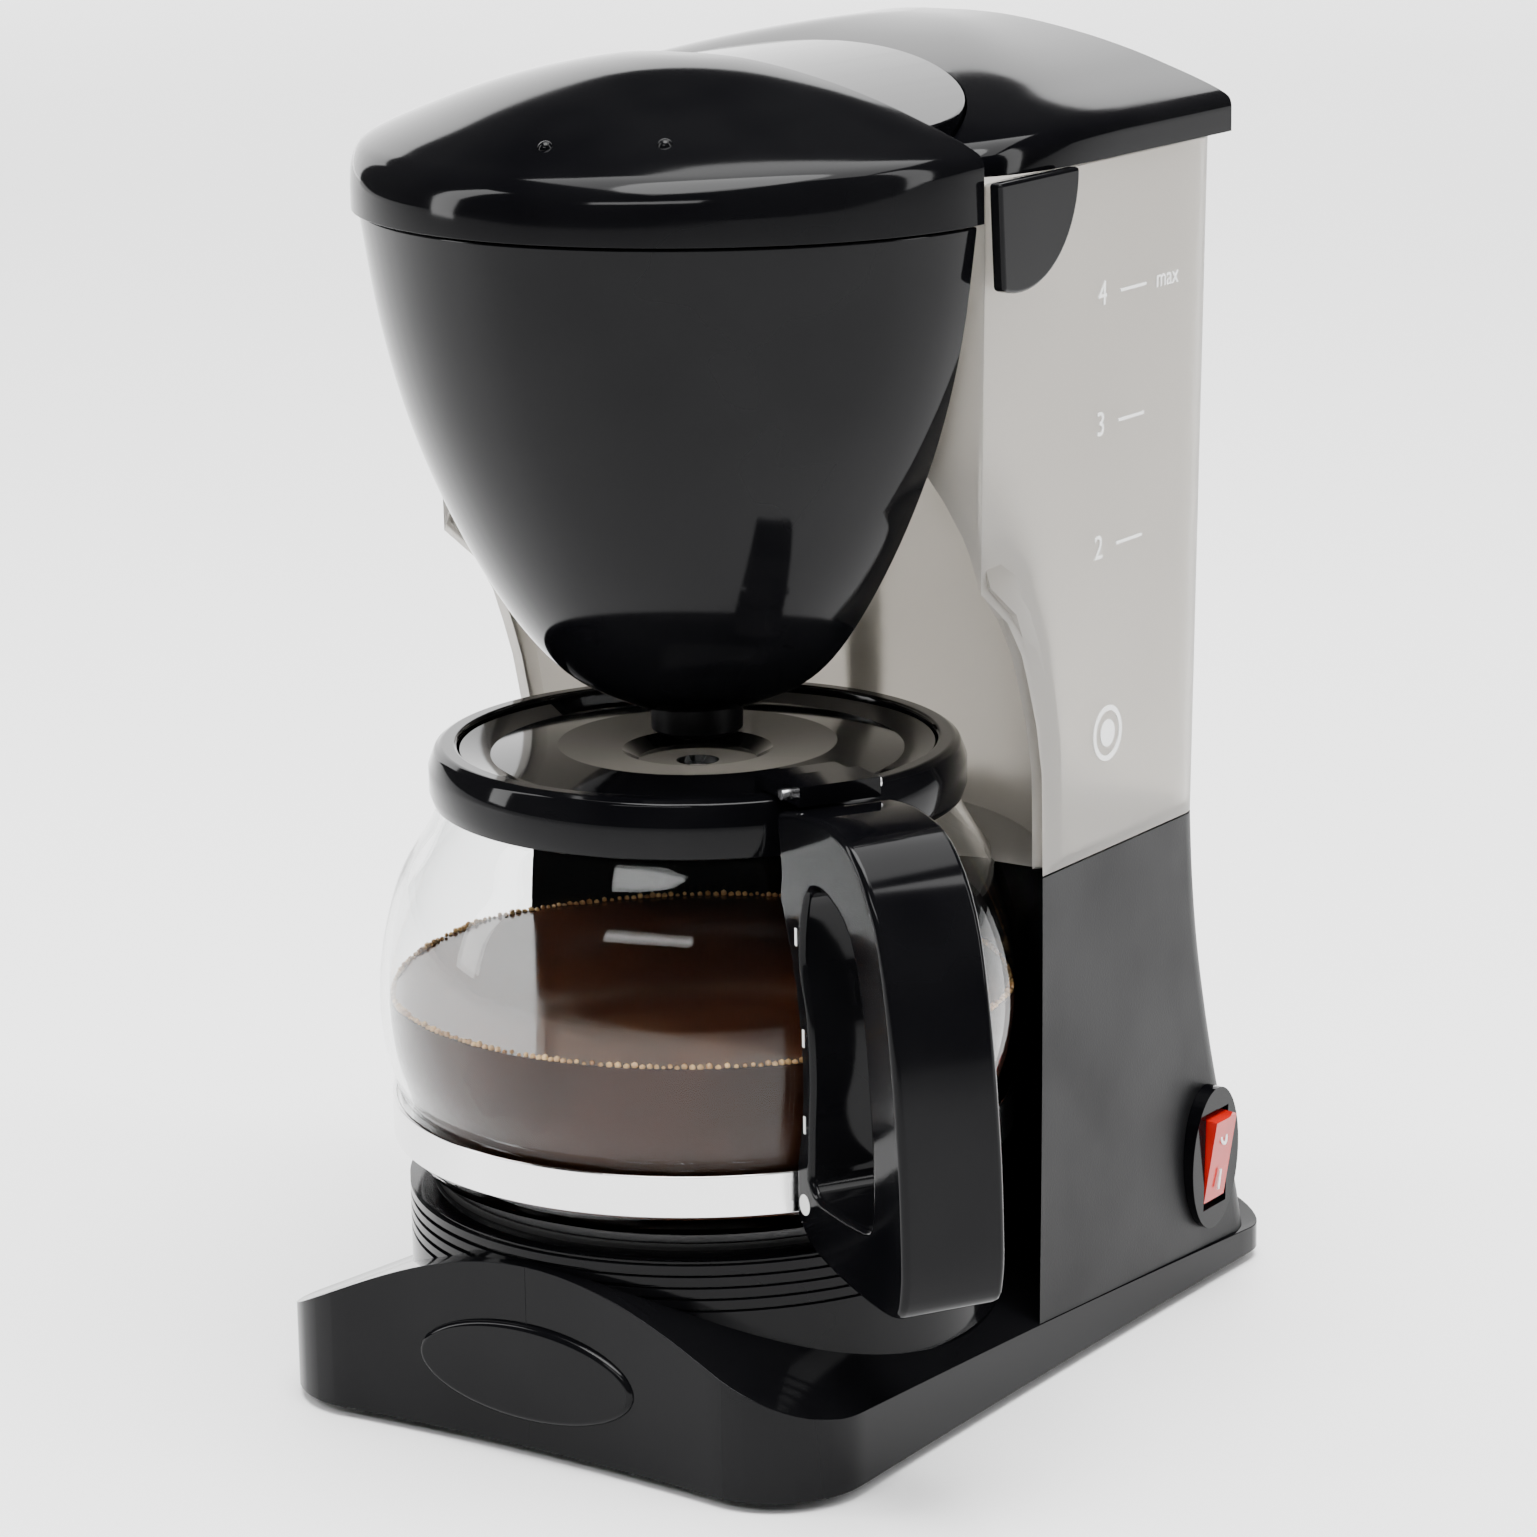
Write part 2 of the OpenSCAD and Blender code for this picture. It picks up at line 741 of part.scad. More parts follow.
module filter_holder() {
  color([0.02, 0.02, 0.022])
  place()
  difference() {
    union() {
      difference() {
        union() {
          holder_front(0, 0);
          holder_back(0, 0);
        }
        difference() {
          union() {
            holder_front(2.2, 1);
            holder_back(2.2, 1);
          }
          translate([hinge_x, hinge_y, 176])
          cylinder(r = 7.4, h = 60, $fn = 36);
        }
      }
      translate([0, 0, nozzle_z + 1.2])
      cylinder(r = 8.5, h = 10.8, $fn = 40);
    }
    translate([hinge_x, hinge_y, 190])
    cylinder(r = pin_r + pin_gap, h = 60, $fn = 32);
    translate([hinge_x, hinge_y, 140])
    cylinder(r = 5.4, h = 58.4, $fn = 36);
    translate([0, 0, nozzle_z - 1])
    cylinder(r = 7, h = 20, $fn = 40);
  }
}
module side_grip() {
  x = holder_w + 1.4;
  color([0.02, 0.02, 0.022])
  place()
  difference() {
    union() {
      intersection() {
        translate([x, 8, tank_top + 1])
        rotate([0, 90, 0])
        cylinder(r = 20, h = 2.6, $fn = 48);
        translate([0, 0.6, tank_top - 30])
        cube([90, 60, 30]);
      }
      translate([x, -4.5, tank_top - 17.4])
      cube([2.6, 6, 11]);
      translate([x - 6, -4.5, tank_top - 17.4])
      cube([7, 3.4, 10.6]);
    }
    holder_front(0, 0);
  }
}
module holder_pin() {
  color([0.7, 0.7, 0.7])
  place()
  translate([hinge_x, hinge_y, 188])
  cylinder(r = pin_r, h = holder_z - 0.2 - 188, $fn = 32);
}
module filter_cone() {
  color([0.12, 0.12, 0.12])
  place()
  difference() {
    union() {
      rotate_extrude($fn = fine)
      polygon([[12, 148], [holder_r - 4.5, holder_z - 4], [holder_r - 2.6, holder_z - 4],
        [holder_r - 2.6, holder_z - 2.4], [holder_r - 5.9, holder_z - 2.4], [10.8, 149.4], [3.2, 149.4],
        [3.2, 148]]);
      for (a = [0:45:315])
      rotate([0, 0, a])
      rotate([90, 0, 0])
      translate([0, 0, -0.6])
      linear_extrude(1.2)
      polygon([[11.5, 148.6], [holder_r - 5, holder_z - 4], [holder_r - 6.6, holder_z - 4], [10, 149]]);
    }
    translate([0, 0, 140])
    cylinder(r = 2, h = 20, $fn = 24);
  }
}
module valve_seat() {
  color([0.75, 0.2, 0.12])
  place()
  translate([0, 0, nozzle_z + 10.4])
  difference() {
    cylinder(r = 6.98, h = 1.6, $fn = 36);
    translate([0, 0, -1])
    cylinder(r = 3.4, h = 9, $fn = 36);
  }
}
module valve_plunger() {
  color([0.1, 0.1, 0.1])
  place() {
    translate([0, 0, nozzle_z - 0.6])
    cylinder(r = 2.4, h = 15, $fn = 32);
    translate([0, 0, nozzle_z + 1.6])
    cylinder(r = 4.4, h = 1.2, $fn = 32);
    translate([0, 0, nozzle_z + 12.1])
    cylinder(r = 5, h = 1.4, $fn = 32);
  }
}
module valve_spring() {
  color([0.7, 0.7, 0.7])
  place()
  for (i = [0:6])
  translate([0, 0, nozzle_z + 3.3 + i * 1.1])
  rotate_extrude($fn = 36)
  translate([3.2, 0])
  circle(r = 0.4, $fn = 16);
}
module valve_ring() {
  color([0.05, 0.05, 0.05])
  place()
  translate([0, 0, nozzle_z])
  difference() {
    cylinder(r = 8.4, h = 1.15, $fn = 40);
    translate([0, 0, -1])
    cylinder(r = 2.55, h = 9, $fn = 32);
  }
}
// ---------- switch
module switch_turn() {
  translate([tank_w / 2 + 1.1, switch_y, switch_z])
  rotate([0, 1.6, 0])
  children();
}
module switch_cut(g) {
  switch_turn()
  translate([-8, -rocker_w / 2 - 1.2 - g, -rocker_h / 2 - 1.2 - g])
  cube([20, rocker_w + 2.4 + 2 * g, rocker_h + 2.4 + 2 * g]);
}
module switch_bezel() {
  color([0.02, 0.02, 0.02])
  place()
  difference() {
    union() {
      difference() {
        switch_turn()
        translate([-1, 0, 0])
        rotate([0, 90, 0])
        linear_extrude(3.4)
        polygon([for (i = [0:59]) [14.6 * cos(6 * i), 9.2 * sin(6 * i)]]);
        tower_form(-0.01);
      }
      switch_turn()
      translate([-7, -rocker_w / 2 - 1.2, -rocker_h / 2 - 1.2])
      cube([8, rocker_w + 2.4, rocker_h + 2.4]);
    }
    switch_turn()
    translate([-9, -rocker_w / 2, -rocker_h / 2])
    cube([20, rocker_w, rocker_h]);
  }
}
module switch_rocker() {
  color([0.85, 0.05, 0.03])
  place()
  switch_turn()
  rotate([90, 0, 0]) {
    translate([0, 0, 0.06 - rocker_w / 2])
    cylinder(r = 1.5, h = rocker_w - 0.12, $fn = 32);
    translate([0, 0, -rocker_w / 2 + rocker_gap])
    linear_extrude(rocker_w - 2 * rocker_gap)
    polygon([[-2.5, -3.5], [-2.5, 3.5], [0.6, rocker_h / 2 - rocker_gap - 0.6], [4.6, rocker_h / 2 - rocker_gap - 0.9],
    [3.4, 0], [2.2, -rocker_h / 2 + rocker_gap + 0.9], [-0.4, -rocker_h / 2 + rocker_gap + 0.6]]);
  }
}
module switch_body() {
  color([0.05, 0.05, 0.05])
  place()
  switch_turn() {
    translate([-15, -rocker_w / 2 - 1.2, -rocker_h / 2 - 1.2])
    cube([7.9, rocker_w + 2.4, rocker_h + 2.4]);
    for (z = [-6, 0, 6])
    translate([-20, -0.4, z - 1.5])
    cube([5.1, 0.8, 3]);
  }
}
// ---------- carafe
function glass_side(o) = [[belly_r - 4.2 - o, glass_z + 6 + o], [belly_r - 3.2 - o, glass_z + 14],
  [belly_r - 0.8 - o, glass_z + 23], [belly_r - o, glass_z + 33], [belly_r - 1.2 - o, glass_z + 44],
  [belly_r - 4.4 - o, glass_z + 55], [belly_r - 9.2 - o, glass_z + 63], [mouth_r + 3.6 - o, neck_z - 1.5],
  [mouth_r + 1 - o, neck_z + 2], [mouth_r - o, neck_z + 6]];
module carafe_glass() {
  color([0.85, 0.88, 0.9, 0.3])
  place()
  rotate_extrude($fn = 96)
  polygon(concat([[0, glass_z]], [[belly_r - 12, glass_z], [belly_r - 6.5, glass_z + 1.6]], glass_side(0),
    [for (i = [9:-1:0]) glass_side(glass_t)[i]], [[belly_r - 9, glass_z + glass_t + 2.2], [belly_r - 14, glass_z + glass_t], [0, glass_z + glass_t]]));
}
module toward_handle() {
  rotate([0, 0, -handle_turn])
  children();
}
module carafe_collar() {
  color([0.02, 0.02, 0.022])
  place()
  difference() {
    union() {
      rotate_extrude($fn = 96)
      polygon([[mouth_r + 0.15, neck_z + 6.1], [mouth_r + 1.2, neck_z + 2.05], [mouth_r + 3.4, neck_z - 0.8],
        [mouth_r + 4.8, neck_z - 0.8], [mouth_r + 5.6, neck_z + 1.6], [mouth_r + 5.6, neck_z + 6],
        [mouth_r + 4.4, rim_z - 0.8], [mouth_r + 3.2, rim_z], [mouth_r + 0.6, rim_z], [mouth_r + 0.15, rim_z - 0.6]]);
      toward_handle()
      translate([mouth_r + 4.9, -7.5, neck_z + 0.2])
      cube([7.2, 15, 5.5]);
    }
    toward_handle()
    translate([mouth_r + 5.7, 0, neck_z + 3])
    rotate([0, 90, 0])
    cylinder(r = 1.4, h = 30, $fn = 24);
  }
}
module carafe_band() {
  color([0.75, 0.75, 0.77])
  place()
  difference() {
    translate([0, 0, glass_z + 6.2])
    cylinder(r = belly_r - 1.9, h = 7.6, $fn = 96);
    cylinder(r = belly_r - 3.15, h = 300, $fn = 96);
  }
}
module carafe_handle() {
  r = handle_reach;
  z1 = neck_z + 8.5;
  color([0.02, 0.02, 0.022])
  place()
  toward_handle()
  difference() {
    union() {
      for (y = [8.2, -9.8])
      translate([mouth_r + 7.6, y, rim_z - 3.4])
      cube([4.8, 1.6, 7.6]);
      handle_form(r, z1);
    }
    cylinder(r = belly_r - 1.85, h = 58, $fn = 96);
    translate([mouth_r - 5, -7.6, z1 - 11])
    cube([17.3, 15.2, 11.02 - 2.4]);
    translate([mouth_r + 10, 0, rim_z + 2])
    rotate([90, 0, 0])
    cylinder(r = 1, h = 40, center = true, $fn = 24);
    translate([mouth_r + 4, 0, z1 - 5.5])
    rotate([0, 90, 0])
    cylinder(r = 1.4, h = 30, $fn = 24);
  }
}
module handle_form(r, z1) {
  rotate([90, 0, 0])
  translate([0, 0, -handle_w / 2])
  linear_extrude(handle_w)
  difference() {
    polygon([[mouth_r + 8, z1], [70, z1 + 2], [82, z1 - 1], [91, z1 - 12], [96, z1 - 30], [99, z1 - 50], [r, z1 - 70],
      [r - 0.5, 45], [r - 4, 41], [r - 18, 41.5], [belly_r + 5, 44], [belly_r - 1.85, 49], [belly_r - 1.85, 59],
      [belly_r - 0.1, glass_z + 23], [belly_r + 0.7, glass_z + 33], [belly_r - 0.5, glass_z + 44],
      [belly_r - 3.6, glass_z + 55], [belly_r - 7.4, z1 - 15.5], [mouth_r + 12.3, z1 - 11]]);
    polygon([[belly_r + 4, 57], [belly_r + 8, 54.5], [r - 15, 54.5], [r - 12.5, 57], [r - 12, 62], [r - 12.5, z1 - 48],
      [r - 15, z1 - 30], [r - 20, z1 - 16], [r - 29, z1 - 11], [mouth_r + 20, z1 - 13], [belly_r + 1.5, glass_z + 55],
      [belly_r + 4.2, glass_z + 44], [belly_r + 5.2, glass_z + 33], [belly_r + 4.4, glass_z + 23]]);
  }
}
module handle_screw() {
  color([0.7, 0.7, 0.7])
  place()
  toward_handle()
  translate([mouth_r + 6.5, 0, neck_z + 3])
  rotate([0, 90, 0])
  cylinder(r = 1.38, h = 20, $fn = 24);
}
module carafe_lid() {
  color([0.02, 0.02, 0.022])
  place() {
    difference() {
      rotate_extrude($fn = 96)
      polygon([[4, rim_z - 4.6], [11, rim_z - 4.2], [14, rim_z - 2.2], [26, rim_z - 1], [mouth_r - 6, rim_z - 2.4],
        [mouth_r - 0.3, rim_z - 1.2], [mouth_r - 0.3, rim_z - 3.7], [mouth_r - 2.3, rim_z - 3.7], [mouth_r - 2.3, rim_z - 6], [mouth_r - 3.4, rim_z - 6],
        [mouth_r - 4, rim_z - 4.4], [26, rim_z - 3], [14, rim_z - 4.2], [11, rim_z - 6.2], [4, rim_z - 6.4]]);
      rotate([0, 0, 180 - handle_turn])
      translate([mouth_r - 9, -11, rim_z - 20])
      cube([30, 22, 40]);
    }
    toward_handle() {
      difference() {
        translate([mouth_r - 4, -8, rim_z - 2.6])
        cube([9, 16, 5.4]);
        translate([mouth_r - 9, -20, rim_z - 3])
        cube([9 - 0.4, 40, 1.8]);
        difference() {
          translate([0, 0, rim_z - 30])
          cylinder(r = mouth_r + 30, h = 30.3, $fn = 96);
          translate([0, 0, rim_z - 31])
          cylinder(r = mouth_r - 0.3, h = 40, $fn = 96);
        }
      }
      difference() {
        translate([mouth_r + 4.9, -8, rim_z + 0.3])
        cube([9, 16, 3.6]);
        translate([mouth_r + 10, 0, rim_z + 2])
        rotate([90, 0, 0])
        cylinder(r = 1.02, h = 40, center = true, $fn = 24);
      }
    }
  }
}
module carafe_lid_pin() {
  color([0.7, 0.7, 0.7])
  place()
  toward_handle()
  translate([mouth_r + 10, 0, rim_z + 2])
  rotate([90, 0, 0])
  cylinder(r = 1, h = 19.6, center = true, $fn = 24);
}

base_housing();
front_pad();
bottom_cover();
feet();
bottom_screws();
warming_plate();
plate_gasket();
heating_element();
heater_tube();
heater_clamp();
thermostat();
thermal_fuse();
inlet_hose();
outlet_hose();
hose_clips();
check_valve();
riser_tube();
riser_seal();
water_spout();
wiring();
cord_grommet();
tower_shell();
water_tank();
tank_marks();
tank_lid();
tank_lid_pin();
brew_cover();
spout_hub();
filter_holder();
side_grip();
holder_pin();
filter_cone();
valve_seat();
valve_plunger();
valve_spring();
valve_ring();
switch_bezel();
switch_rocker();
switch_body();
carafe_glass();
carafe_collar();
carafe_band();
carafe_handle();
handle_screw();
carafe_lid();
carafe_lid_pin();
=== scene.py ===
import bpy
import bmesh
import math
from mathutils import Matrix, Vector


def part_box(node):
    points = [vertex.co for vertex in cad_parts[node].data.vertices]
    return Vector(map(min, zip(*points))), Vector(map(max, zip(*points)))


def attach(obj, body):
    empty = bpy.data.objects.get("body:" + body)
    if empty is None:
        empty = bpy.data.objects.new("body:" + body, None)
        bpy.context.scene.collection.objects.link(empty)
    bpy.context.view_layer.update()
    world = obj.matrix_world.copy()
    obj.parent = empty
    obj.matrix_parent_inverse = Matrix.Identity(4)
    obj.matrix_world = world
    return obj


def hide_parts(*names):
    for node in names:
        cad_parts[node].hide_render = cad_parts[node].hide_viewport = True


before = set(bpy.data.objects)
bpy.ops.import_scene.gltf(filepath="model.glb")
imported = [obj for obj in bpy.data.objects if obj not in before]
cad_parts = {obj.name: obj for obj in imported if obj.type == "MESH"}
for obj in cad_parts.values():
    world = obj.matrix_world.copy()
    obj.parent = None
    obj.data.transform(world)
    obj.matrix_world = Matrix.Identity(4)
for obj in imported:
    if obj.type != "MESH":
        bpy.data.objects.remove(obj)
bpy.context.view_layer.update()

MM = 0.001
plate_low, plate_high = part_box("warming_plate")
AXIS = Vector(((plate_low[0] + plate_high[0]) / 2, (plate_low[1] + plate_high[1]) / 2, 0))
PLACE = Matrix.Translation(AXIS) @ Matrix.Scale(MM, 4)

# Sizes are in millimetres, from the carafe's axis and the floor.
BASE_HALF = 61.5
BASE_FRONT = 60.0
BASE_BACK = 113.0
BASE_CORNER = 18.0
BASE_BACK_CORNER = 9.0
BASE_BOW = 0.6
BASE_EDGE = 17
BASE_HUMP = 20
BASE_SLOPE = math.radians(3.4)
PEDESTAL_R = 56
PAD_MIDDLE = 16.7
TANK_HALF = 59.0
TANK_BACK = 88.0
BODY_CORNER = 8.0
SIDE_FRONT = 3.0
SEAM = 98.0
TANK_TOP = 229.0
TANK_TALL = TANK_TOP + 12 - SEAM
TANK_SPLAY = 2.6
TANK_BACK_SPLAY = 1.3
TANK_WALL = 2.2
BAY_R = 64.5
NEST_R = 48.5
HUB_R = 48.9
HOLDER_LOW = 131.0
HOLDER_HALF = 62.0
HOLDER_FRONT = 57.0
HOLDER_TOP = 222.5
COVER_LIP = 1.5
COVER_BOW = 1.95
CROWN = 250.0
GLASS = 43.05
GLASS_WALL = 1.6
BAND_LOW = 49.2
BAND_HIGH = 57.0
COFFEE_GAP = 1.75
COFFEE_LEVEL = 77.0
COLLAR_TOP = 123.5
HANDLE_HALF = 10
HANDLE_TURN = math.radians(-30)
PRINT_THICK = 0.12


# ---------- finishes
def new_finish(name, colour, rough, **sockets):
    """A plain finish, with any more of the shader's values given by the name of their socket."""
    finish = bpy.data.materials.new(name)
    finish.use_nodes = True
    shader = finish.node_tree.nodes["Principled BSDF"]
    shader.inputs["Base Color"].default_value = (*colour, 1)
    shader.inputs["Roughness"].default_value = rough
    for socket, value in sockets.items():
        shader.inputs[socket.replace("_", " ")].default_value = value
    return finish


def mottle(finish, scale, low, high, grain=0.0, depth=0.0002):
    """Varies the roughness over the surface, and adds a fine grain to its shape."""
    nodes = finish.node_tree.nodes
    links = finish.node_tree.links
    shader = nodes["Principled BSDF"]
    where = nodes.new("ShaderNodeTexCoord")
    clouds = nodes.new("ShaderNodeTexNoise")
    clouds.inputs["Scale"].default_value = scale
    clouds.inputs["Detail"].default_value = 4.0
    links.new(where.outputs["Object"], clouds.inputs["Vector"])
    spread = nodes.new("ShaderNodeMapRange")
    spread.inputs["From Min"].default_value = 0.3
    spread.inputs["From Max"].default_value = 0.7
    spread.inputs["To Min"].default_value = low
    spread.inputs["To Max"].default_value = high
    links.new(clouds.outputs["Fac"], spread.inputs["Value"])
    links.new(spread.outputs["Result"], shader.inputs["Roughness"])
    if grain:
        pores = nodes.new("ShaderNodeTexNoise")
        pores.inputs["Scale"].default_value = grain
        pores.inputs["Detail"].default_value = 2.0
        bump = nodes.new("ShaderNodeBump")
        bump.inputs["Strength"].default_value = 0.4
        bump.inputs["Distance"].default_value = depth
        links.new(where.outputs["Object"], pores.inputs["Vector"])
        links.new(pores.outputs["Fac"], bump.inputs["Height"])
        links.new(bump.outputs["Normal"], shader.inputs["Normal"])
    return finish


def tinted(finish, scale, low, high):
    """Lets the colour drift between two close shades."""
    nodes = finish.node_tree.nodes
    links = finish.node_tree.links
    where = nodes.new("ShaderNodeTexCoord")
    clouds = nodes.new("ShaderNodeTexNoise")
    clouds.inputs["Scale"].default_value = scale
    shades = nodes.new("ShaderNodeValToRGB")
    shades.color_ramp.elements[0].position = 0.35
    shades.color_ramp.elements[1].position = 0.65
    shades.color_ramp.elements[0].color = (*low, 1)
    shades.color_ramp.elements[1].color = (*high, 1)
    links.new(where.outputs["Object"], clouds.inputs["Vector"])
    links.new(clouds.outputs["Fac"], shades.inputs["Fac"])
    links.new(shades.outputs["Color"], nodes["Principled BSDF"].inputs["Base Color"])
    return finish


gloss_black = tinted(mottle(new_finish("gloss_black_moulding", (0.003, 0.003, 0.0035), 0.1, Specular_IOR_Level=0.11),
                            22, 0.05, 0.11), 30, (0.0015, 0.0015, 0.002), (0.0035, 0.0035, 0.004))
satin_black = tinted(mottle(new_finish("satin_black_moulding", (0.005, 0.005, 0.005), 0.42, Specular_IOR_Level=0.14),
                            40, 0.36, 0.48, grain=2500, depth=0.00006),
                     25, (0.003, 0.003, 0.0035), (0.006, 0.006, 0.0065))
rubber_black = mottle(new_finish("foot_rubber", (0.02, 0.02, 0.02), 0.7), 60, 0.6, 0.8, grain=900)
plate_coat = mottle(new_finish("plate_nonstick_coat", (0.02, 0.02, 0.021), 0.4), 90, 0.3, 0.45, grain=1500)
steel = mottle(new_finish("brushed_steel", (0.62, 0.62, 0.63), 0.25, Metallic=1.0), 120, 0.2, 0.34)
aluminium = mottle(new_finish("cast_aluminium", (0.7, 0.7, 0.72), 0.4, Metallic=1.0), 70, 0.3, 0.5, grain=700)
ceramic = mottle(new_finish("fired_ceramic", (0.75, 0.72, 0.66), 0.5), 60, 0.4, 0.6)
silicone = mottle(new_finish("clear_silicone", (0.8, 0.8, 0.78), 0.35), 50, 0.3, 0.45)
silicone_red = mottle(new_finish("red_silicone", (0.6, 0.06, 0.03), 0.4), 50, 0.35, 0.5)
pipe_plastic = mottle(new_finish("pipe_plastic", (0.78, 0.78, 0.76), 0.4), 50, 0.35, 0.45)
sleeve = mottle(new_finish("glass_fibre_sleeve", (0.7, 0.7, 0.66), 0.7), 300, 0.6, 0.8, grain=1200)
smoky = tinted(mottle(new_finish("smoky_tank_plastic", (0.66, 0.64, 0.6), 0.3, IOR=1.3, Transmission_Weight=0.8),
                      18, 0.28, 0.36), 9, (0.60, 0.575, 0.535), (0.68, 0.655, 0.615))
white_print = mottle(new_finish("white_print", (0.85, 0.85, 0.84), 0.5), 200, 0.45, 0.6)
clear_glass = mottle(new_finish("clear_glass", (0.97, 0.98, 0.98), 0.02, IOR=1.24, Transmission_Weight=1.0),
                     12, 0.0, 0.02)
coffee_brown = mottle(tinted(new_finish("brewed_coffee", (0.06, 0.02, 0.008), 0.3, Specular_IOR_Level=0.05),
                             40, (0.022, 0.008, 0.004), (0.036, 0.013, 0.007)), 30, 0.25, 0.35)
coffee_top = tinted(mottle(new_finish("coffee_surface", (0.12, 0.05, 0.02), 0.1, Specular_IOR_Level=0.2),
                           30, 0.05, 0.15), 45, (0.05, 0.018, 0.008), (0.085, 0.032, 0.013))
froth = tinted(mottle(new_finish("golden_froth", (0.6, 0.35, 0.13), 0.15), 200, 0.08, 0.25),
               300, (0.32, 0.15, 0.05), (0.75, 0.48, 0.2))
band_steel = mottle(new_finish("polished_band", (0.8, 0.8, 0.8), 0.12, Metallic=1.0), 30, 0.08, 0.2)
rocker_red = tinted(mottle(new_finish("translucent_red", (0.5, 0.01, 0.006), 0.12), 50, 0.08, 0.16),
                    60, (0.32, 0.004, 0.003), (0.5, 0.010, 0.006))


# ---------- making pieces
def smooth_through(stations, steps):
    """More stations on a smooth curve through the given ones."""
    found = []
    last = len(stations) - 1
    for i in range(last):
        a, b, c, d = stations[max(i - 1, 0)], stations[i], stations[i + 1], stations[min(i + 2, last)]
        for k in range(steps):
            t = k / steps
            found.append(tuple(0.5 * (2 * q + (r - p) * t + (2 * p - 5 * q + 4 * r - s) * t * t
                                      + (3 * q - p - 3 * r + s) * t ** 3) for p, q, r, s in zip(a, b, c, d)))
    found.append(tuple(stations[-1]))
    return found


def wire(bm, points, closed=True):
    """Draws the edges that join the points, and back to the first where closed."""
    corners = [bm.verts.new(p) for p in points]
    pairs = zip(corners, corners[1:] + corners[:1]) if closed else zip(corners, corners[1:])
    return [bm.edges.new(pair) for pair in pairs]


def lofted(rings, high=True):
    """A skin drawn over closed rings, one above the other, shut below and, where asked, above."""
    bm = bmesh.new()
    rows = [wire(bm, points) for points in rings]
    for below, above in zip(rows, rows[1:]):
        bmesh.ops.bridge_loops(bm, edges=below + above)
    bmesh.ops.contextual_create(bm, geom=rows[0])
    if high:
        bmesh.ops.contextual_create(bm, geom=rows[-1])
    bmesh.ops.recalc_face_normals(bm, faces=bm.faces)
    return bm


def turned(profile, steps=128, closed=False):
    """A round piece from points (radius, height)."""
    bm = bmesh.new()
    edges = wire(bm, [(r, 0, z) for r, z in profile], closed)
    bmesh.ops.spin(bm, geom=edges + list(bm.verts), cent=(0, 0, 0), axis=(0, 0, 1), angle=2 * math.pi,
                   steps=steps, use_merge=True)
    bmesh.ops.remove_doubles(bm, verts=bm.verts, dist=0.0005)
    bmesh.ops.recalc_face_normals(bm, faces=bm.faces)
    return bm


def plate_of(outline, thick, axis):
    """A flat plate of the outline, thickened along the axis."""
    bm = bmesh.new()
    wire(bm, outline)
    face = bmesh.ops.contextual_create(bm, geom=list(bm.edges))["faces"]
    grown = bmesh.ops.extrude_face_region(bm, geom=face)["geom"]
    shift = Vector(axis) * thick
    bmesh.ops.translate(bm, vec=shift, verts=[v for v in grown if isinstance(v, bmesh.types.BMVert)])
    bmesh.ops.recalc_face_normals(bm, faces=bm.faces)
    return bm


def sliced(bm, direction, places):
    """Cuts a flat sheet on planes across the direction, so that it can follow a curve."""
    for place in places:
        bmesh.ops.bisect_plane(bm, geom=bm.verts[:] + bm.edges[:] + bm.faces[:], plane_co=Vector(direction) * place,
                               plane_no=direction)


def raised(bm, height_of):
    """Grows a flat sheet up to the height given for each of its points."""
    grown = bmesh.ops.extrude_face_region(bm, geom=bm.faces[:])["geom"]
    for v in [v for v in grown if isinstance(v, bmesh.types.BMVert)]:
        v.co.z = height_of(v.co.x, v.co.y)
    bmesh.ops.recalc_face_normals(bm, faces=bm.faces)
    return bm


def radius_at(z, stations):
    """The radius at a height, between the nearest two stations (radius, height)."""
    for (r0, z0), (r1, z1) in zip(stations, stations[1:]):
        if z0 <= z <= z1:
            return r0 + (r1 - r0) * (z - z0) / (z1 - z0)


def made(bm, name, finish, body, nodes=(), edge=0.0, crease=35, place=PLACE, wall=0.0):
    """Turns the drawn piece into an object in its place, riding on its body, instead of the CAD nodes named.

    edge and wall are in millimetres, and crease is the angle in degrees past which an edge stays sharp.
    """
    bm.transform(place)
    mesh = bpy.data.meshes.new(name)
    bm.to_mesh(mesh)
    bm.free()
    piece = bpy.data.objects.new(name, mesh)
    bpy.context.scene.collection.objects.link(piece)
    mesh.materials.append(finish)
    mesh.shade_smooth()
    mesh.set_sharp_from_angle(angle=math.radians(crease))
    if wall:
        shell = piece.modifiers.new("wall", "SOLIDIFY")
        shell.thickness = wall * MM
        shell.offset = -1
    if edge:
        soft = piece.modifiers.new("soft_edges", "BEVEL")
        soft.width = edge * MM
        soft.segments = 3
        soft.limit_method = "ANGLE"
        soft.angle_limit = math.radians(crease)
        soft.harden_normals = True
    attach(piece, body)
    if nodes:
        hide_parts(*nodes)
    return piece


def bowed_half(w, f, y, e):
    """A bowed front of half width w and depth f, from the left corner round to the right one; e squares it."""
    found = []
    n = 40
    for i in range(n + 1):
        a = math.pi + math.pi * i / n
        c, s = math.cos(a), abs(math.sin(a))
        found.append((w * math.copysign(abs(c) ** (2 / e), c), y - f * s ** (2 / e)))
    return found


def corner_arc(cx, cy, r, start, end, n=8):
    """Points on a round corner, between two angles in degrees."""
    return [(cx + r * math.cos(math.radians(start + (end - start) * i / n)),
             cy + r * math.sin(math.radians(start + (end - start) * i / n))) for i in range(n + 1)]


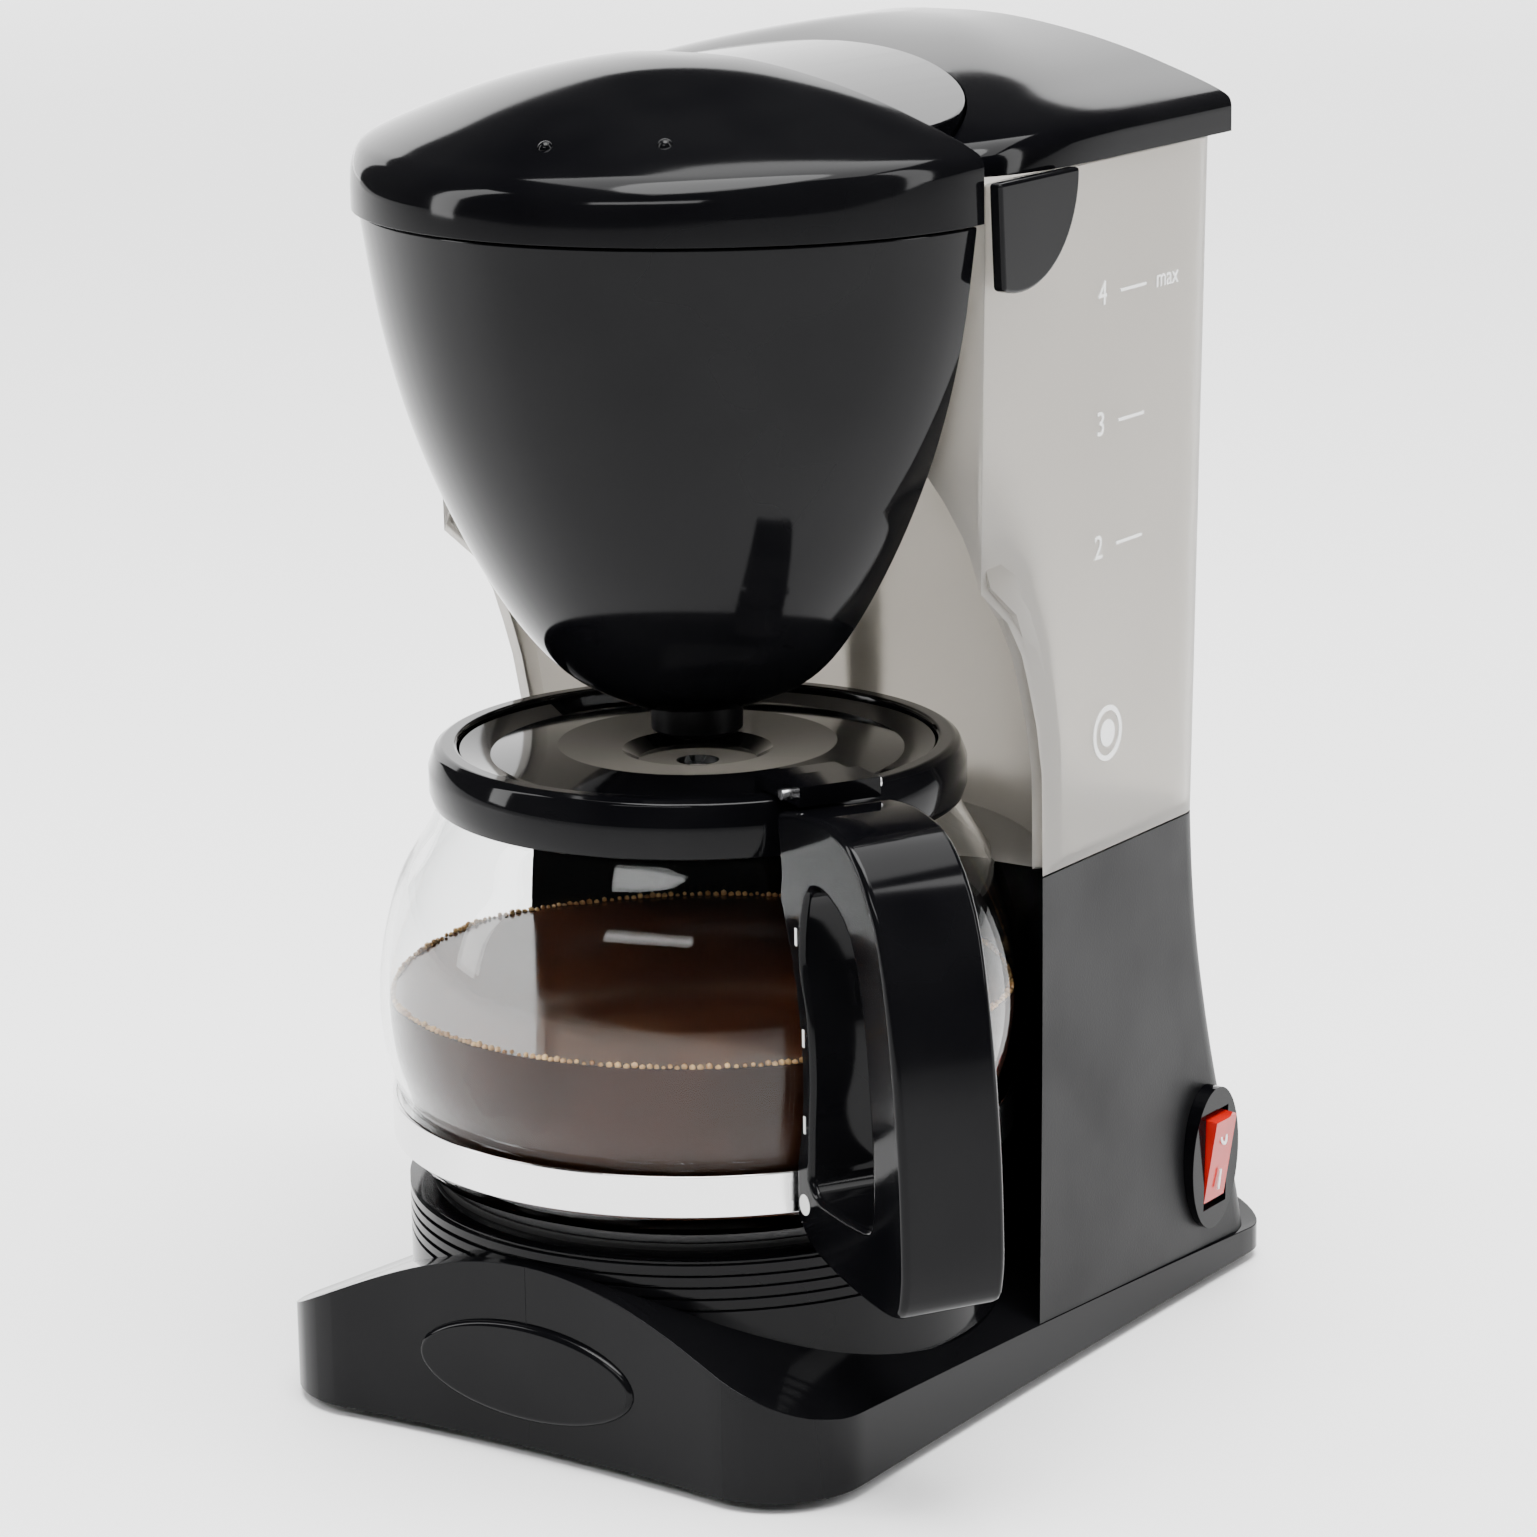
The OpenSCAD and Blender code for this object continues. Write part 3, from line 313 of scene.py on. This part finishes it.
# ---------- base
def base_outline():
    """The base from above, with a drawn-in front edge and sides."""
    w, f, b, r, q, n = BASE_HALF, BASE_FRONT, BASE_BACK, BASE_CORNER, BASE_BACK_CORNER, 24
    side = [(BASE_BOW * math.sin(math.pi * i / n), r - f + i / n * (f + b - r - q)) for i in range(n + 1)]
    pts = [(t * (w - r), -f + 2 * (1 - t * t)) for t in [-1 + 2 * i / n for i in range(n + 1)]]
    pts += corner_arc(w - r, r - f, r, -90, 0, 12)[1:-1]
    pts += [(w - bow, y) for bow, y in side]
    pts += corner_arc(w - q, b - q, q, 0, 90)[1:]
    pts += corner_arc(q - w, b - q, q, 90, 180)[:-1]
    pts += [(bow - w, y) for bow, y in reversed(side)]
    pts += corner_arc(r - w, r - f, r, 180, 270, 12)[1:-1]
    return pts


def base_height(x, y):
    """The base's top: a hump along the middle that falls toward the back."""
    c = math.cos(min(math.pi / 2, abs(x) * math.pi / 2 / BASE_HALF))
    return BASE_EDGE + BASE_HUMP * max(c, 0) ** 1.2 - (y + BASE_FRONT) * math.tan(BASE_SLOPE)


def arched_base():
    bm = bmesh.new()
    wire(bm, [(x, y, 2) for x, y in base_outline()])
    bmesh.ops.contextual_create(bm, geom=list(bm.edges))
    sliced(bm, (1, 0, 0), [i * 4 for i in range(-15, 16)])
    sliced(bm, (0, 1, 0), [i * 10 for i in range(-5, 12)])
    return raised(bm, base_height)


made(arched_base(), "base_skin", gloss_black, "base", ["base_housing"], edge=1.1, crease=42)
ridges = []
for i in range(5):
    z = 29.0 + 2.2 * i
    ridges += [(PEDESTAL_R, z), (PEDESTAL_R, z + 1.4), (PEDESTAL_R - 0.7, z + 1.6), (PEDESTAL_R - 0.7, z + 2.0)]
pedestal = ([(PEDESTAL_R, 16)] + ridges
            + [(PEDESTAL_R, 40.4), (52.5, 40.9), (50.9, 40.4), (50.9, 39), (46.4, 39), (46.4, 36), (54, 36), (54, 16)])
made(turned(pedestal, closed=True), "ridged_pedestal", gloss_black, "base", (), crease=30)
pad = plate_of([(24 * math.cos(math.radians(5 * i)), -55.5, PAD_MIDDLE + 9.2 * math.sin(math.radians(5 * i)))
                   for i in range(72)], 4, (0, -1, 0))
made(pad, "front_oval", gloss_black, "base", ["front_pad"], edge=1.2)


# ---------- tower and tank
def hollow_ring(half, back, radius, z_of):
    """Ring of the tank or tower: square back with rounded corners, round hollow in front."""
    corner, steps = BODY_CORNER, 28
    reach = math.sqrt(max(radius * radius - half * half, 0))
    if reach > SIDE_FRONT:
        y0, side = reach, math.atan2(reach, half)
    else:
        y0, side = SIDE_FRONT, math.asin(SIDE_FRONT / radius)
    angles = [math.pi - side - (math.pi - 2 * side) * i / steps for i in range(steps + 1)]
    pts = [(radius * math.cos(a), radius * math.sin(a)) for a in angles]
    inner = pts[-1][0]
    pts += [(inner + (half - inner) * k / 3, y0 + 0.002 * k) for k in (1, 2, 3)]
    pts += [(half, y0 + (back - corner - y0) * k / 8) for k in range(1, 8)]
    pts += corner_arc(half - corner, back - corner, corner, 0, 90)
    pts += [((half - corner) * (1 - k / 4), back) for k in range(1, 8)]
    pts += corner_arc(corner - half, back - corner, corner, 90, 180)
    pts += [(-half, y0 + (back - corner - y0) * k / 8) for k in range(7, 0, -1)]
    pts += [(-inner - (half - inner) * k / 3, y0 + 0.002 * k) for k in (3, 2, 1)]
    return [(x, y, z_of(x, y)) for x, y in pts]


def tower():
    """The black lower body, flaring out to the base; each station is (height, side, back)."""
    flare = smooth_through([(0.0, 1.7, 19.4), (0.12, 1.5, 16.4), (0.25, 1.15, 12.8), (0.4, 0.8, 8.6), (0.55, 0.5, 5.2),
                            (0.7, 0.25, 2.5), (0.85, 0.05, 0.9), (1.0, 0.0, 0.0)], 4)
    rings = []
    for u, side, back in flare:
        rings.append(hollow_ring(TANK_HALF + side, TANK_BACK + back, BAY_R,
                                 lambda x, y, u=u: (1 - u) * (base_height(x, y) - 0.6) + u * SEAM))
    return lofted(rings)


made(tower(), "tower_skin", satin_black, "base", ["tower_shell"], edge=0.8, crease=32)


def tank_ring(z):
    grow = (z - SEAM) / TANK_TALL
    hollow = [(BAY_R, 60), (BAY_R, 118), (BAY_R - 0.7, 128), (BAY_R - 2.2, 142), (BAY_R - 4.4, 156),
              (BAY_R - 7.5, 165), (BAY_R - 12, 172), (NEST_R, 177), (NEST_R, 300)]
    return hollow_ring(TANK_HALF + TANK_SPLAY * grow, TANK_BACK + TANK_BACK_SPLAY * grow, radius_at(z, hollow),
                       lambda x, y: z)


levels = [98.4, 99.5, 108, 118, 123, 128, 135, 142, 149, 156, 160, 163, 166, 169, 172, 174.5, 177, 190, 205, 220, 229]
made(lofted([tank_ring(z) for z in levels], high=False), "tank_skin", smoky, "base", ["water_tank"],
     edge=0.6, crease=40, wall=TANK_WALL)


# ---------- covers
def cover_rings(front, y, e, z0):
    """Arched cover, drawn in as it rises; each station is (height, width, depth)."""
    stations = smooth_through([(0, 1, 1), (0.15, 1, 0.985), (0.27, 0.998, 0.94), (0.345, 0.978, 0.885),
                               (0.45, 0.9, 0.8), (0.57, 0.79, 0.69), (0.7, 0.66, 0.56), (0.82, 0.51, 0.425),
                               (0.92, 0.345, 0.29), (0.98, 0.2, 0.17), (1, 0.08, 0.09)], 3)
    rings = []
    for up, w, f in stations:
        z = z0 + (CROWN - z0) * up
        rings.append([(x, q, z) for x, q in bowed_half((HOLDER_HALF + 1) * w, front * f, y, e)])
    return rings


def front_cover():
    deep = HOLDER_FRONT + COVER_LIP
    skirt = [(x, y, HOLDER_TOP + 0.4) for x, y in bowed_half(HOLDER_HALF + 1, deep, 0, COVER_BOW)]
    return lofted([skirt] + cover_rings(deep, 0, COVER_BOW, HOLDER_TOP + 5))


made(front_cover(), "front_cover_skin", gloss_black, "cover", ["brew_cover"], edge=0.7, crease=38)


def cover_pips():
    """Two small pips near the top of the front cover."""
    bm = bmesh.new()
    for spot in ((2.0, -45.5, 237.6), (22.7, -39.0, 238.4)):
        bmesh.ops.create_uvsphere(bm, u_segments=20, v_segments=12, radius=1.5, matrix=Matrix.Translation(spot))
    return bm


made(cover_pips(), "cover_pips", gloss_black, "cover", (), crease=80)


def rear_cover():
    return lofted(cover_rings(TANK_BACK - 0.3, TANK_BACK + COVER_LIP, 7, TANK_TOP + 0.6))


def drilled(piece, cutter):
    """Takes the cutter's shape out of the piece for good."""
    cut = piece.modifiers.new("way_out", "BOOLEAN")
    cut.operation = "DIFFERENCE"
    cut.solver = "EXACT"
    cut.object = cutter
    graph = bpy.context.evaluated_depsgraph_get()
    left = bpy.data.meshes.new_from_object(piece.evaluated_get(graph))
    piece.modifiers.remove(cut)
    piece.data = left
    left.shade_smooth()
    left.set_sharp_from_angle(angle=math.radians(35))
    bpy.data.objects.remove(cutter)


def cutter_from(bm):
    """The drawn shape as a bare object in place, to drill with."""
    bm.transform(PLACE)
    mesh = bpy.data.meshes.new("cutter")
    bm.to_mesh(mesh)
    bm.free()
    tool = bpy.data.objects.new("cutter", mesh)
    bpy.context.scene.collection.objects.link(tool)
    return tool


rear = made(rear_cover(), "rear_cover_skin", gloss_black, "lid", ["tank_lid"], crease=35)
drilled(rear, cutter_from(turned([(0, 215), (50.8, 215), (50.8, 270), (0, 270)], 96)))


def hub_height(x, y):
    return TANK_TOP + 4 + (CROWN - TANK_TOP - 6.5) * math.cos(math.radians(84 * x / 64))


def hub():
    """The half-round arched block over the spout, between the two covers."""
    bm = bmesh.new()
    pts = [(50.1 * math.cos(math.pi * i / 48), 1.2 + HUB_R * math.sin(math.pi * i / 48)) for i in range(49)]
    wire(bm, [(x, y, TANK_TOP + 0.2) for x, y in pts])
    bmesh.ops.contextual_create(bm, geom=list(bm.edges))
    sliced(bm, (1, 0, 0), [i * 4 for i in range(-12, 13)])
    return raised(bm, hub_height)


made(hub(), "hub_skin", gloss_black, "base", ["spout_hub"], edge=0.8)


# ---------- filter holder
def holder():
    """The bowed funnel, narrowing downward; each station is (height, width, depth)."""
    table = smooth_through([(0, 0.2, 0.22), (0.05, 0.37, 0.38), (0.12, 0.5, 0.49), (0.24, 0.63, 0.62),
                            (0.4, 0.76, 0.75), (0.58, 0.87, 0.86), (0.78, 0.95, 0.94), (1, 1, 1)], 5)
    rings = []
    for up, w, f in table:
        z = HOLDER_LOW + (HOLDER_TOP - HOLDER_LOW) * up
        half = HOLDER_HALF * w
        back = max(3, 44 * min(1, w * 1.12))
        ring = bowed_half(half, HOLDER_FRONT * f, -0.5, 1.9)
        inner = min(back, half - 0.3)
        ring += [(inner * math.cos(math.pi * i / 30), 0.001 + back * math.sin(math.pi * i / 30)) for i in range(31)]
        rings.append([(x, y, z) for x, y in ring])
    return lofted(rings)


made(holder(), "holder_skin", gloss_black, "holder", ["filter_holder"], edge=0.5, crease=40)
made(turned([(5.5, 124.0), (8.5, 125.2), (8.5, 133), (5.5, 133)], 64, closed=True), "drip_nozzle", satin_black,
     "holder", ["valve_ring"], edge=0.4)

GRIP_X = HOLDER_HALF + 1.4
GRIP_TOP = TANK_TOP + 1
half_round = [(8 + 20 * math.cos(math.radians(-a)), GRIP_TOP + 20 * math.sin(math.radians(-a)))
              for a in range(6, 115, 6)]
grip = plate_of([(GRIP_X, 0.6, GRIP_TOP), (GRIP_X, 28, GRIP_TOP)]
                + [(GRIP_X, y, z) for y, z in half_round if y > 0.6], 2.6, (1, 0, 0))
made(grip, "grip_skin", gloss_black, "holder", ["side_grip"], edge=0.7)


# ---------- carafe
outer = [(0, GLASS), (30, GLASS), (48.5, GLASS + 0.1), (54, GLASS + 1.6), (56.3, GLASS + 6), (57.3, GLASS + 14),
         (59.7, GLASS + 23), (60.5, GLASS + 33), (59.3, GLASS + 44), (56.1, GLASS + 55), (51.3, GLASS + 63),
         (48.1, 112), (45.5, 115.5), (44.5, 119.5)]
belly = smooth_through(outer[3:], 4)
glass_profile = (outer[:3] + belly + [(r - GLASS_WALL, z) for r, z in reversed(belly[1:])]
                 + [(46, GLASS + 1.8), (30, GLASS + GLASS_WALL), (0, GLASS + GLASS_WALL)])
made(turned(glass_profile), "glass_jug", clear_glass, "carafe", ["carafe_glass"], crease=50)
coffee_r = radius_at(COFFEE_LEVEL, belly) - COFFEE_GAP
coffee = [(0, GLASS + 1.9), (46, GLASS + 2.1)]
coffee += [(r - COFFEE_GAP, z) for r, z in belly[3:] if z < COFFEE_LEVEL]
coffee += [(coffee_r, COFFEE_LEVEL), (0, COFFEE_LEVEL)]
made(turned(coffee), "coffee", coffee_brown, "carafe", crease=50)
surface = COFFEE_LEVEL + 0.03
made(turned([(0, surface), (coffee_r - 0.2, surface)]), "coffee_top", coffee_top, "carafe")

collar = [(44.65, 119.55), (45.7, 115.6), (47.9, 112.6), (49.3, 112.6), (50.1, 115), (50.1, 119.5), (48.9, 122.7),
          (47.7, COLLAR_TOP), (45.1, COLLAR_TOP), (44.65, 122.9)]
made(turned(collar, closed=True), "collar_ring", gloss_black, "carafe", ["carafe_collar"], edge=0.5,
     crease=30)
band = [(58.7, BAND_LOW), (58.7, BAND_HIGH), (57.9, BAND_HIGH), (57.9, BAND_LOW)]
made(turned(band, closed=True), "steel_band", band_steel, "carafe", ["carafe_band"], edge=0.25)

HANDLE_PLACE = PLACE @ Matrix.Rotation(HANDLE_TURN, 4, "Z")


def d_handle():
    """Closed D: hood, spine, foot and an arm along the glass, cut from one outline with a finger hole."""
    z1 = COLLAR_TOP - 1.5
    out = smooth_through([(52.5, z1), (62, z1 + 1.8), (72, z1 + 1.9), (82, z1 - 1), (91, z1 - 12), (96, z1 - 30),
                          (99, z1 - 50), (100, z1 - 65), (99.8, 47), (96.5, 41.4), (82, 41.2), (65.5, 44),
                          (58.7, 49)], 4)
    arm = smooth_through([(58.7, 59), (60.4, 66), (61.2, 76), (60, 87), (56.9, 98), (53.2, 106.5)], 4)
    hole = smooth_through([(64.5, 57), (68.5, 54.5), (85, 54.5), (87.5, 57), (88, 62), (87.5, z1 - 48),
                           (85, z1 - 30), (80, z1 - 16), (71, z1 - 11), (64.5, z1 - 13), (62, 98), (64.7, 87),
                           (65.7, 76), (64.9, 66), (64.5, 57)], 4)[:-1]
    bm = bmesh.new()
    outside = wire(bm, [(x, HANDLE_HALF, z) for x, z in out + arm + [(54, z1 - 11)]])
    inside = wire(bm, [(x, HANDLE_HALF, z) for x, z in hole])
    bmesh.ops.triangle_fill(bm, edges=outside + inside, use_beauty=True)
    grown = bmesh.ops.extrude_face_region(bm, geom=bm.faces[:])["geom"]
    bmesh.ops.translate(bm, vec=(0, -2 * HANDLE_HALF, 0), verts=[v for v in grown if isinstance(v, bmesh.types.BMVert)])
    bmesh.ops.recalc_face_normals(bm, faces=bm.faces)
    flat = [e for e in bm.edges if len(e.link_faces) == 2 and e.calc_face_angle(0) < 0.001]
    bmesh.ops.dissolve_edges(bm, edges=flat, use_verts=False)
    return bm


made(d_handle(), "handle_skin", gloss_black, "carafe", ["carafe_handle"], edge=2.6, crease=50,
     place=HANDLE_PLACE)


def froth_ring():
    """Small bubbles standing where the coffee meets the glass."""
    bm = bmesh.new()
    reach = coffee_r - 0.7
    bubbles = 260
    for i in range(bubbles):
        turn = 2 * math.pi * (i + 0.35 * math.sin(i * 12.9898)) / bubbles
        size = 0.42 + 0.28 * abs(math.sin(i * 78.233))
        height = COFFEE_LEVEL + 0.25 + 0.2 * math.sin(i * 3.7)
        spot = Matrix.Translation((reach * math.cos(turn), reach * math.sin(turn), height))
        bmesh.ops.create_icosphere(bm, subdivisions=1, radius=size, matrix=spot)
    return bm


made(froth_ring(), "froth_ring", froth, "carafe", crease=80)


# ---------- prints
def printed(text, size, middle, right, up, out):
    """Letters as a thin raised print about its middle, running along right."""
    curve = bpy.data.curves.new("print", "FONT")
    curve.body = text
    curve.size = size
    curve.extrude = PRINT_THICK
    curve.align_x = "CENTER"
    curve.align_y = "CENTER"
    lettering = bpy.data.objects.new("print", curve)
    bpy.context.scene.collection.objects.link(lettering)
    mesh = bpy.data.meshes.new_from_object(lettering.evaluated_get(bpy.context.evaluated_depsgraph_get()))
    bpy.data.objects.remove(lettering)
    bm = bmesh.new()
    bm.from_mesh(mesh)
    right, up, out = Vector(right).normalized(), Vector(up).normalized(), Vector(out).normalized()
    turn = Matrix((right, up, out)).transposed().to_4x4()
    bm.transform(Matrix.Translation(Vector(middle)) @ turn)
    return bm


def tank_face(z):
    """How far out the tank's right face is at a height."""
    return TANK_HALF + TANK_SPLAY * (z - SEAM) / TANK_TALL + 0.1


def join(parts):
    """Several drawn parts as one."""
    whole = bmesh.new()
    for part in parts:
        mesh = bpy.data.meshes.new("part")
        part.to_mesh(mesh)
        part.free()
        whole.from_mesh(mesh)
    return whole


def bar(middle, long, deep, tall):
    """A printed bar with its three sizes."""
    bm = bmesh.new()
    bmesh.ops.create_cube(bm, size=1, matrix=Matrix.Translation(middle) @ Matrix.Diagonal((long, deep, tall, 1)))
    return bm


def ring_print(profile, middle, axis, steps=32):
    """A printed disc or ring, facing along the axis."""
    bm = turned(profile, steps, closed=profile[0][0] > 0)
    bm.transform(Matrix.Translation(middle) @ Matrix.Rotation(math.pi / 2, 4, axis))
    return bm


LEAN = (TANK_SPLAY / TANK_TALL, 0, 1)
scale = []
for label, z in (("4", 204.4), ("3", 180.2), ("2", 157.0)):
    scale.append(printed(label, 6.4, (tank_face(z), 44.5, z), (0, 1, 0), LEAN, (1, 0, 0)))
    scale.append(bar((tank_face(z), 55.75, z), 2 * PRINT_THICK, 9.5, 0.55))
scale.append(printed("max", 5.0, (tank_face(204.4), 68.5, 204.6), (0, 1, 0), LEAN, (1, 0, 0)))
sign = (tank_face(121), 49, 121)
scale.append(ring_print([(4.3, -PRINT_THICK), (5.3, -PRINT_THICK), (5.3, PRINT_THICK), (4.3, PRINT_THICK)],
                        sign, "Y", 48))
scale.append(ring_print([(0, -PRINT_THICK), (2.6, -PRINT_THICK), (2.6, PRINT_THICK), (0, PRINT_THICK)], sign, "Y"))
made(join(scale), "tank_scale", white_print, "base", ["tank_marks"], crease=30)

rocker_low, rocker_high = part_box("switch_rocker")
rocker_x = (rocker_high[0] - AXIS[0]) / MM - 0.9
rocker_y = (rocker_low[1] + rocker_high[1]) / 2 / MM - AXIS[1] / MM
rocker_z = (rocker_low[2] + rocker_high[2]) / 2 / MM
signs = [printed("0", 6.2, (rocker_x + 0.15, rocker_y, rocker_z + 4.9), (0, 1, 0), (-0.13, 0, 1), (1, 0, 0.13)),
         printed("I", 6.2, (rocker_x - 0.75, rocker_y, rocker_z - 4.6), (0, 1, 0), (0.13, 0, 1), (1, 0, -0.13))]
made(join(signs), "switch_signs", white_print, "rocker", ())

side = -HANDLE_HALF - 0.02
cup_marks = [bar((x, side, z), 0.7, 0.2, 3.2) for x, z in ((60.2, 101), (62.6, 83), (62.6, 67))]
cup_marks.append(ring_print([(0, -0.1), (1.9, -0.1), (1.9, 0.1), (0, 0.1)], (62.2, side, 52), "X"))
made(join(cup_marks), "cup_marks", white_print, "carafe", (), place=HANDLE_PLACE)

# ---------- CAD pieces that keep their shape
KEPT = {
    "plate_gasket": rubber_black, "warming_plate": plate_coat, "heating_element": aluminium, "heater_tube": aluminium,
    "heater_clamp": steel, "thermostat": ceramic, "thermal_fuse": ceramic, "inlet_hose": silicone,
    "outlet_hose": silicone, "hose_clips": steel, "check_valve": silicone_red, "riser_tube": pipe_plastic,
    "riser_seal": rubber_black, "water_spout": satin_black, "wiring": sleeve, "cord_grommet": rubber_black,
    "bottom_cover": satin_black, "feet": rubber_black, "bottom_screws": steel,
    "tank_lid_pin": steel, "holder_pin": steel, "filter_cone": satin_black, "valve_seat": silicone_red,
    "valve_plunger": satin_black, "valve_spring": steel, "switch_bezel": gloss_black, "switch_rocker": rocker_red,
    "switch_body": satin_black, "handle_screw": steel, "carafe_lid": gloss_black, "carafe_lid_pin": steel,
}
for node_name, finish in KEPT.items():
    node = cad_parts[node_name]
    node.data.materials.clear()
    node.data.materials.append(finish)

# ---------- floor, light and camera
bm = bmesh.new()
bmesh.ops.create_grid(bm, x_segments=1, y_segments=1, size=7)
floor_mesh = bpy.data.meshes.new("floor")
bm.to_mesh(floor_mesh)
bm.free()
floor = bpy.data.objects.new("floor", floor_mesh)
bpy.context.scene.collection.objects.link(floor)
pale = tinted(mottle(new_finish("pale_floor", (0.9, 0.9, 0.9), 0.6), 3, 0.55, 0.65),
              2, (0.9, 0.9, 0.9), (0.92, 0.92, 0.92))
floor_mesh.materials.append(pale)


def softbox(name, place, aim, size, power, tall):
    """A panel of light in metres and watts, turned to face its aim."""
    light = bpy.data.lights.new(name, "AREA")
    light.shape = "RECTANGLE"
    light.size = size
    light.size_y = tall
    light.energy = power
    lamp = bpy.data.objects.new(name, light)
    lamp.location = place
    lamp.rotation_euler = (Vector(aim) - Vector(place)).to_track_quat("-Z", "Y").to_euler()
    bpy.context.scene.collection.objects.link(lamp)


softbox("top_box", (0.1, 0.1, 1.6), (0, 0, 0), 1.5, 48, 1.5)
softbox("back_box", (-1.9, 2.7, 0.95), (0, 0, 0.15), 4.6, 95, 1.9)
softbox("left_strip", (-1.15, -0.75, 0.75), (0, 0, 0.12), 0.28, 13, 1.3)
softbox("right_strip", (1.2, 0.35, 0.75), (0, 0, 0.12), 0.3, 12, 1.2)
softbox("front_strip", (0.25, -1.2, 1.0), (0, 0, 0.14), 0.8, 6, 0.16)
day = bpy.data.lights.new("overhead", "SUN")
day.energy = 5.2
day.angle = math.radians(40)
overhead = bpy.data.objects.new("overhead", day)
overhead.rotation_euler = (math.radians(8), math.radians(6), 0)
bpy.context.scene.collection.objects.link(overhead)

world = bpy.data.worlds.new("studio")
bpy.context.scene.world = world
world.use_nodes = True
air = world.node_tree
sky = air.nodes["Background"]
sky.inputs["Color"].default_value = (1, 1, 1, 1)
sky.inputs["Strength"].default_value = 0.06

camera = bpy.data.objects.new("camera", bpy.data.cameras.new("camera"))
camera.data.lens = 117.48
camera.data.sensor_width = 36
camera.data.clip_start = 0.01
camera.location = PLACE @ Vector((516.33, -744.85, 342.94))
camera.rotation_euler = (Matrix.Rotation(math.radians(33.9), 3, "Z") @ Matrix.Rotation(math.radians(76.0), 3, "X")
                         @ Matrix.Rotation(math.radians(-0.9), 3, "Z")).to_euler()
bpy.context.scene.collection.objects.link(camera)
bpy.context.scene.camera = camera
